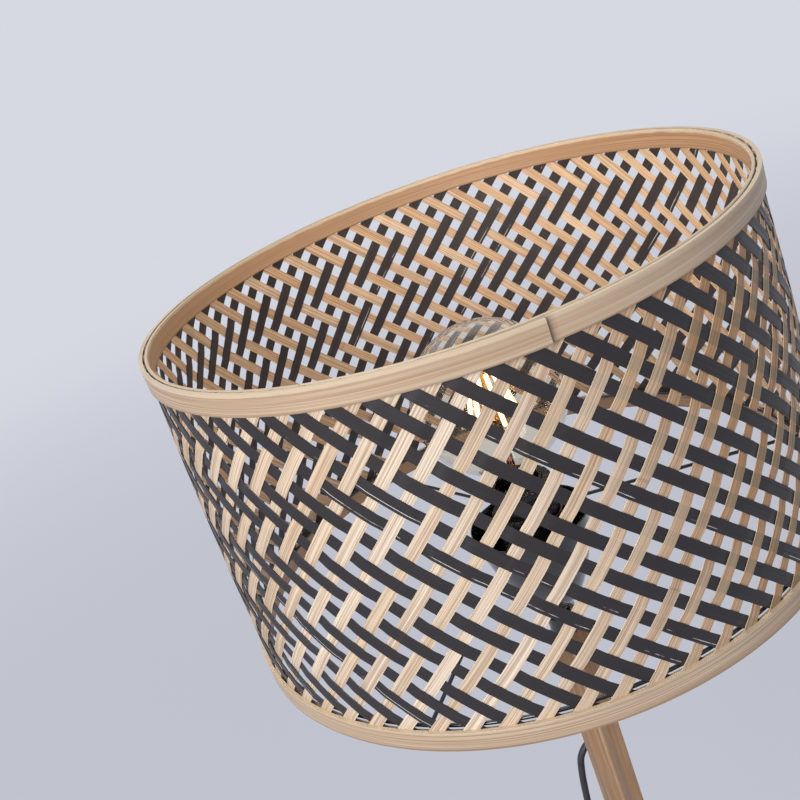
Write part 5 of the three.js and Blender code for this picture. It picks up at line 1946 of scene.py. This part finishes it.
@dataclass
class Bulb:
    """The large clear globe with its screw cap and a cage of lit filaments."""

    radius: float = 62.5 * MM
    wall: float = 1.0 * MM
    neck: float = 16 * MM
    foot: float = 10.6 * MM
    neck_bend: tuple[float, float] = (0.6, 0.35)
    sunk: float = 3 * MM
    cap_bottom: float = 1259.7 * MM
    cap_top: float = 1283.7 * MM
    contact_radius: float = 6.2 * MM
    shoulder_radius: float = 11.4 * MM
    thread_core: float = 12.4 * MM
    thread_pitch: float = 3.6 * MM
    threads: int = 5
    cage_low: float = 1350.5 * MM
    cage_high: float = 1390.2 * MM
    cage_foot: float = 20 * MM
    cage_head: float = 11 * MM
    hub_radii: tuple[float, float] = (4.6 * MM, 3.9 * MM)
    hub_height: float = 2.4 * MM
    rods: int = 6
    rod: float = 2.0 * MM
    stem_wire: float = 1.1 * MM
    rod_wire: float = 0.45 * MM

    def build(self, finishes: Finishes) -> None:
        """Blows the globe and turns its cap.

        Args:
            finishes: The lamp's materials.
        """
        glass = turned([*self._shell(0.0), *reversed(self._shell(self.wall))], 128)
        publish("globe", glass, finishes.glass, Slot.GLASS, ["bulb_globe"], Body.BULB, sharp=60)
        self._cap(finishes)
        self._cage(finishes)
        dress(finishes.brass, "bulb_tip")
        # The stem's orange tint is a painted reflection of the filament glow.
        smoothed("bulb_stem", finishes.painted_glow_glass, Slot.GLASS, Body.BULB, sharp=50)

    def _shell(self, inset: float) -> list[tuple[float, float]]:
        """Gives the profile of one face of the glass, from the top to the foot.

        Args:
            inset: How far it lies inside the outer face.

        Returns:
            Radius and height of each point.
        """
        radius = self.radius - inset
        join = math.asin((self.neck - inset) / radius)
        steps, neck_steps = 56, 8
        made = []
        for i in range(steps + 1):
            turn = (math.pi - join) * i / steps
            made.append((radius * math.sin(turn), LEVELS.globe + radius * math.cos(turn)))
        start, end = made[-1], (self.foot - inset, self.cap_top + self.sunk)
        middle = [a - bend * (a - b) for a, b, bend in zip(start, end, self.neck_bend)]
        for k in range(1, neck_steps + 1):
            t = k / neck_steps
            curve = zip(start, middle, end)
            made.append(tuple(a * (1 - t) ** 2 + 2 * m * t * (1 - t) + b * t * t for a, m, b in curve))
        made.append((self.foot - inset, self.cap_top - self.sunk))
        return made

    def _cage(self, finishes: Finishes) -> None:
        """Makes the lit rods, and the wires and hubs that hold them.

        Args:
            finishes: The lamp's materials.
        """
        low, high = self.cage_low, self.cage_high
        lit, wires = bmesh.new(), wire_between(Vector((0, 0, low)), Vector((0, 0, high)), self.stem_wire)
        for height in (low, high):
            wide, slim = self.hub_radii
            merge_into(wires, moved(cylinder(wide, self.hub_height, 32, slim), (0, 0, height)))
        for k in range(self.rods):
            turn = Matrix.Rotation(k * math.tau / self.rods, 3, "Z")
            foot, top = turn @ Vector((self.cage_foot, 0, low)), turn @ Vector((self.cage_head, 0, high))
            merge_into(lit, wire_between(foot, top, self.rod, 16))
            for end, middle in ((foot, low), (top, high)):
                merge_into(lit, ball(self.rod, end, 16))
                merge_into(wires, wire_between(Vector((0, 0, middle)), end, self.rod_wire, 8))
        publish("lit_rods", lit, finishes.glow, Slot.FILAMENT, ["bulb_filaments"], Body.BULB)
        publish("rod_wires", wires, finishes.brass, Slot.BRASS, (), Body.BULB)

    def _cap(self, finishes: Finishes) -> None:
        """Turns the threaded cap.

        Args:
            finishes: The lamp's materials.
        """
        low, shoulder = self.cap_bottom, self.cap_bottom + 3 * MM
        profile = [(0.0, low), (self.contact_radius, low), (self.shoulder_radius, shoulder)]
        start = shoulder + 0.2 * MM
        for k in range(self.threads):
            for share, out in ((0.1, 0.1), (0.35, 0.75), (0.5, 0.8), (0.65, 0.75), (0.9, 0.1)):
                profile.append((self.thread_core + out * MM, start + (k + share) * self.thread_pitch))
        bore, seat = self.foot + GAP, self.cap_top - self.sunk - GAP
        profile += [(bore + 1.2 * MM, self.cap_top), (bore, self.cap_top), (bore, seat), (0.0, seat)]
        thread = turned(profile, 96)
        publish("bulb_thread", thread, finishes.steel, Slot.STEEL, ["bulb_cap"], Body.BULB, sharp=40)


# ---------------------------------------------------------------- pole and the rest


@dataclass
class Stand:
    """The pole, the crossed foot with its pads, and what holds them together."""

    pad_radius: float = 15 * MM
    pad_height: float = 3.7 * MM
    pad_reach: float = 214 * MM

    def build(self, finishes: Finishes) -> None:
        """Smooths the bamboo pieces, turns the pads and dresses the hidden hardware.

        Args:
            finishes: The lamp's materials.
        """
        for node, finish in (
            ("pole_lower", finishes.pole),
            ("pole_upper", finishes.pole),
            ("base_beam_lower", finishes.beam_x),
            ("base_beam_upper", finishes.beam_y),
        ):
            smoothed(node, finish, Slot.BROWN)
        for k, (x, y) in enumerate(((1, 0), (0, 1), (-1, 0), (0, -1)), 1):
            wide, high = self.pad_radius, self.pad_height
            pad = turned(rounded([(0.0, 0.0), (wide, 0.0), (wide, high), (0.0, high)], 0.9 * MM), 64)
            mesh = moved(pad, (x * self.pad_reach, y * self.pad_reach, 0))
            publish(f"round_pad_{k}", mesh, finishes.rubber, Slot.RUBBER, [f"foot_pad_{k}"])
        dress(finishes.steel, "base_bolt", "base_washer", "joint_stud", "bowl_nut")
        dress(finishes.brass, "base_sleeve", "joint_sleeve_lower", "joint_sleeve_upper")


@dataclass
class FootSwitch:
    """The round foot switch: its base, domed cover, button and both strain reliefs."""

    centre: Point = (-80 * MM, 165 * MM, 0.0)
    radius: float = 30 * MM
    wall: float = 2 * MM
    base_top: float = 8 * MM
    cover_top: float = 21.3 * MM
    button_radius: float = 11 * MM
    hole: float = 11.5 * MM
    button_top: float = 25.3 * MM
    skirt_radius: float = 13.5 * MM
    skirt_height: float = 1.6 * MM
    floor: float = 4 * MM
    cord_height: float = 7 * MM
    relief_sunk: float = 3 * MM
    relief_out: float = 12 * MM
    relief_wide: float = 5.2 * MM
    relief_slim: float = 4.1 * MM
    relief_ribs: int = 4
    travel: float = 3 * MM

    def build(self, finishes: Finishes) -> None:
        """Turns every piece of the switch.

        Args:
            finishes: The lamp's materials.
        """
        inner = self.radius - self.wall
        base = [(0.0, 0.0), (self.radius, 0.0), (self.radius, self.base_top)]
        base += [(inner, self.base_top), (inner, self.floor), (0.0, self.floor)]
        self._place("switch_floor", turned(rounded(base, 0.8 * MM), 96), finishes.satin, "switch_base")
        low, top = self.base_top + GAP, self.cover_top
        cover = [
            (inner, low),
            (self.radius, low),
            (self.radius, top - 5 * MM),
            (self.radius - 3.2 * MM, top - 1.4 * MM),
            (self.radius - 9 * MM, top),
            (self.hole + 2.4 * MM, top),
            (self.hole + 1.8 * MM, top + 0.7 * MM),
            (self.hole, top + 0.7 * MM),
            (self.hole, top - self.wall),
            (self.radius - 9 * MM, top - self.wall),
            (inner, top - 6 * MM),
            (inner, low),
        ]
        self._place("switch_dome", turned(rounded(cover, 2.6 * MM, 5), 96), finishes.satin, "switch_cover")
        skirt = self.cover_top - self.wall - GAP
        button = [
            (0.0, skirt - self.skirt_height),
            (self.skirt_radius, skirt - self.skirt_height),
            (self.skirt_radius, skirt),
            (self.button_radius, skirt),
            (self.button_radius, self.button_top),
            (self.button_radius - 2.6 * MM, self.button_top),
            (self.button_radius - 4.4 * MM, self.button_top - 0.6 * MM),
            (0.0, self.button_top - 1.0 * MM),
        ]
        mesh = turned(rounded(button, 1.1 * MM, 4), 96)
        self._place("round_button", mesh, finishes.satin, "switch_button", Body.BUTTON)
        for side, name in ((-1, "switch_relief_in"), (1, "switch_relief_out")):
            start, end = self.radius - self.relief_sunk, self.radius + self.relief_out
            profile = ribbed(start, end, self.relief_wide, self.relief_slim, self.relief_ribs)
            relief = moved(turned(profile, 48), (0, 0, self.cord_height), -side * math.pi / 2)
            self._place(f"{name}_ribs", relief, finishes.rubber, name)
        spring = smoothed("switch_spring", finishes.steel, Slot.STEEL, sharp=60)
        low, high = (corner.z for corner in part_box("switch_spring"))
        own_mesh(spring)
        dress(finishes.steel, "switch_screw_1", "switch_screw_2")

    def _place(
        self, name: str, mesh: Mesh, material: bpy.types.Material, node: str, body: Body = Body.LAMP
    ) -> None:
        """Moves a piece from the vertical axis to the switch's place on the floor and publishes it."""
        slot = Slot.CORD if "relief" in node else Slot.PLASTIC
        publish(name, moved(mesh, self.centre), material, slot, [node], body)


@dataclass
class Plug:
    """The flat plug with two round pins, and its strain relief."""

    x: float = -139 * MM
    height: float = 6.85 * MM
    relief_start: float = 112 * MM
    body_start: float = 126 * MM
    length: float = 36 * MM
    width: float = 35.3 * MM
    end_width: float = 20 * MM
    thickness: float = 13.7 * MM
    spacing: float = 18.6 * MM
    pin: float = 2 * MM
    pin_length: float = 19 * MM
    pin_sunk: float = 4.7 * MM
    pin_tip: float = 1.2 * MM
    pin_end: float = 0.9 * MM
    swell_share: float = 0.55
    waist: float = 0.16
    waist_at: float = 0.42
    waist_spread: float = 0.16
    relief_wide: float = 5.4 * MM
    relief_slim: float = 4.1 * MM
    relief_ribs: int = 4

    def build(self, finishes: Finishes) -> None:
        """Shapes the body, turns the pins and the relief.

        Args:
            finishes: The lamp's materials.
        """
        mesh = bmesh.new()
        bmesh.ops.create_cube(mesh, size=1.0)
        long_edges = [e for e in mesh.edges if abs(e.verts[0].co.y - e.verts[1].co.y) > 0.5]
        bmesh.ops.subdivide_edges(mesh, edges=long_edges, cuts=17, use_grid_fill=True)
        for vert in mesh.verts:
            share = vert.co.y + 0.5
            swell = math.sin(min(1.0, share / self.swell_share) * math.pi / 2)
            width = self.end_width + (self.width - self.end_width) * swell
            waist = 1 - self.waist * math.exp(-(((share - self.waist_at) / self.waist_spread) ** 2))
            vert.co.x = self.x + vert.co.x * width
            vert.co.y = self.body_start + share * self.length
            vert.co.z = self.height + vert.co.z * self.thickness * waist
        publish("plug_shell", mesh, finishes.satin, Slot.PLASTIC, ["plug_body"], bevel=2.2 * MM)
        end = self.body_start + self.length
        for k, side in enumerate((-1, 1), 1):
            start, tip = end - self.pin_sunk, end + self.pin_length
            profile = [(0.0, start), (self.pin, start), (self.pin, tip - self.pin_tip)]
            profile += [(self.pin_end, tip), (0.0, tip)]
            middle = self.x + side * self.spacing / 2
            mesh = self._lying(turned(rounded(profile, 0.8 * MM), 32), middle)
            publish(f"round_pin_{k}", mesh, finishes.brass, Slot.BRASS, [f"plug_pin_{k}"])
        start, end = self.body_start - GAP, self.relief_start
        profile = ribbed(start, end, self.relief_wide, self.relief_slim, self.relief_ribs)
        mesh = self._lying(turned(profile, 48), self.x)
        publish("plug_relief_ribs", mesh, finishes.rubber, Slot.CORD, ["plug_relief"])

    def _lying(self, mesh: Mesh, x: float) -> Mesh:
        """Lays a turned piece along the plug's axis."""
        return moved(mesh, (x, 0, self.height), -math.pi / 2)


@dataclass
class Fittings:
    """The cord's relief at the collar, the tie of the coil and the lampholder's inner pieces."""

    relief_top: float = 1148.4 * MM
    relief_bottom: float = 1121.4 * MM
    relief_wide: float = 5.1 * MM
    relief_slim: float = 4.1 * MM
    relief_ribs: int = 7
    place: tuple[float, float] = (19.5 * MM, 9 * MM)

    def build(self, finishes: Finishes) -> None:
        """Turns the relief and dresses the small pieces.

        Args:
            finishes: The lamp's materials.
        """
        start, end = self.relief_top, self.relief_bottom
        profile = ribbed(start, end, self.relief_wide, self.relief_slim, self.relief_ribs)
        mesh = moved(turned(profile, 48), (*self.place, 0))
        publish("cord_relief_ribs", mesh, finishes.rubber, Slot.CORD, ["cord_relief"])
        smoothed("coil_tie", finishes.satin, Slot.PLASTIC)
        smoothed("inner_lead", finishes.rubber, Slot.CORD, sharp=60)
        dress(finishes.brass, "screw_shell", "centre_contact")
        dress(finishes.ceramic, "lampholder_core")


# ---------------------------------------------------------------- main


def corners(box: tuple[Vector, Vector]) -> list[list[float]]:
    """Turns a box's corners into plain lists."""
    return [[float(x) for x in corner] for corner in box]


def main() -> None:
    """Builds the camera, the cord and then every sub-assembly in order."""
    logging.basicConfig(level=logging.INFO, format="%(name)s: %(message)s")
    solid_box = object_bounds()
    bpy.context.scene.view_settings.view_transform = "Standard"
    Studio().build()
    finishes = Finishes()
    FootSwitch().build(finishes)
    Plug().build(finishes)
    Fittings().build(finishes)
    Cord().build(finishes)
    Shade().build(finishes)
    ShadeFrame().build(finishes)
    Holder().build(finishes)
    Bulb().build(finishes)
    Stand().build(finishes)
    bpy.context.view_layer.update()
    {"cad_box": corners(solid_box), "visual_box": corners(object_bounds())}


if __name__ == "__main__":
    main()
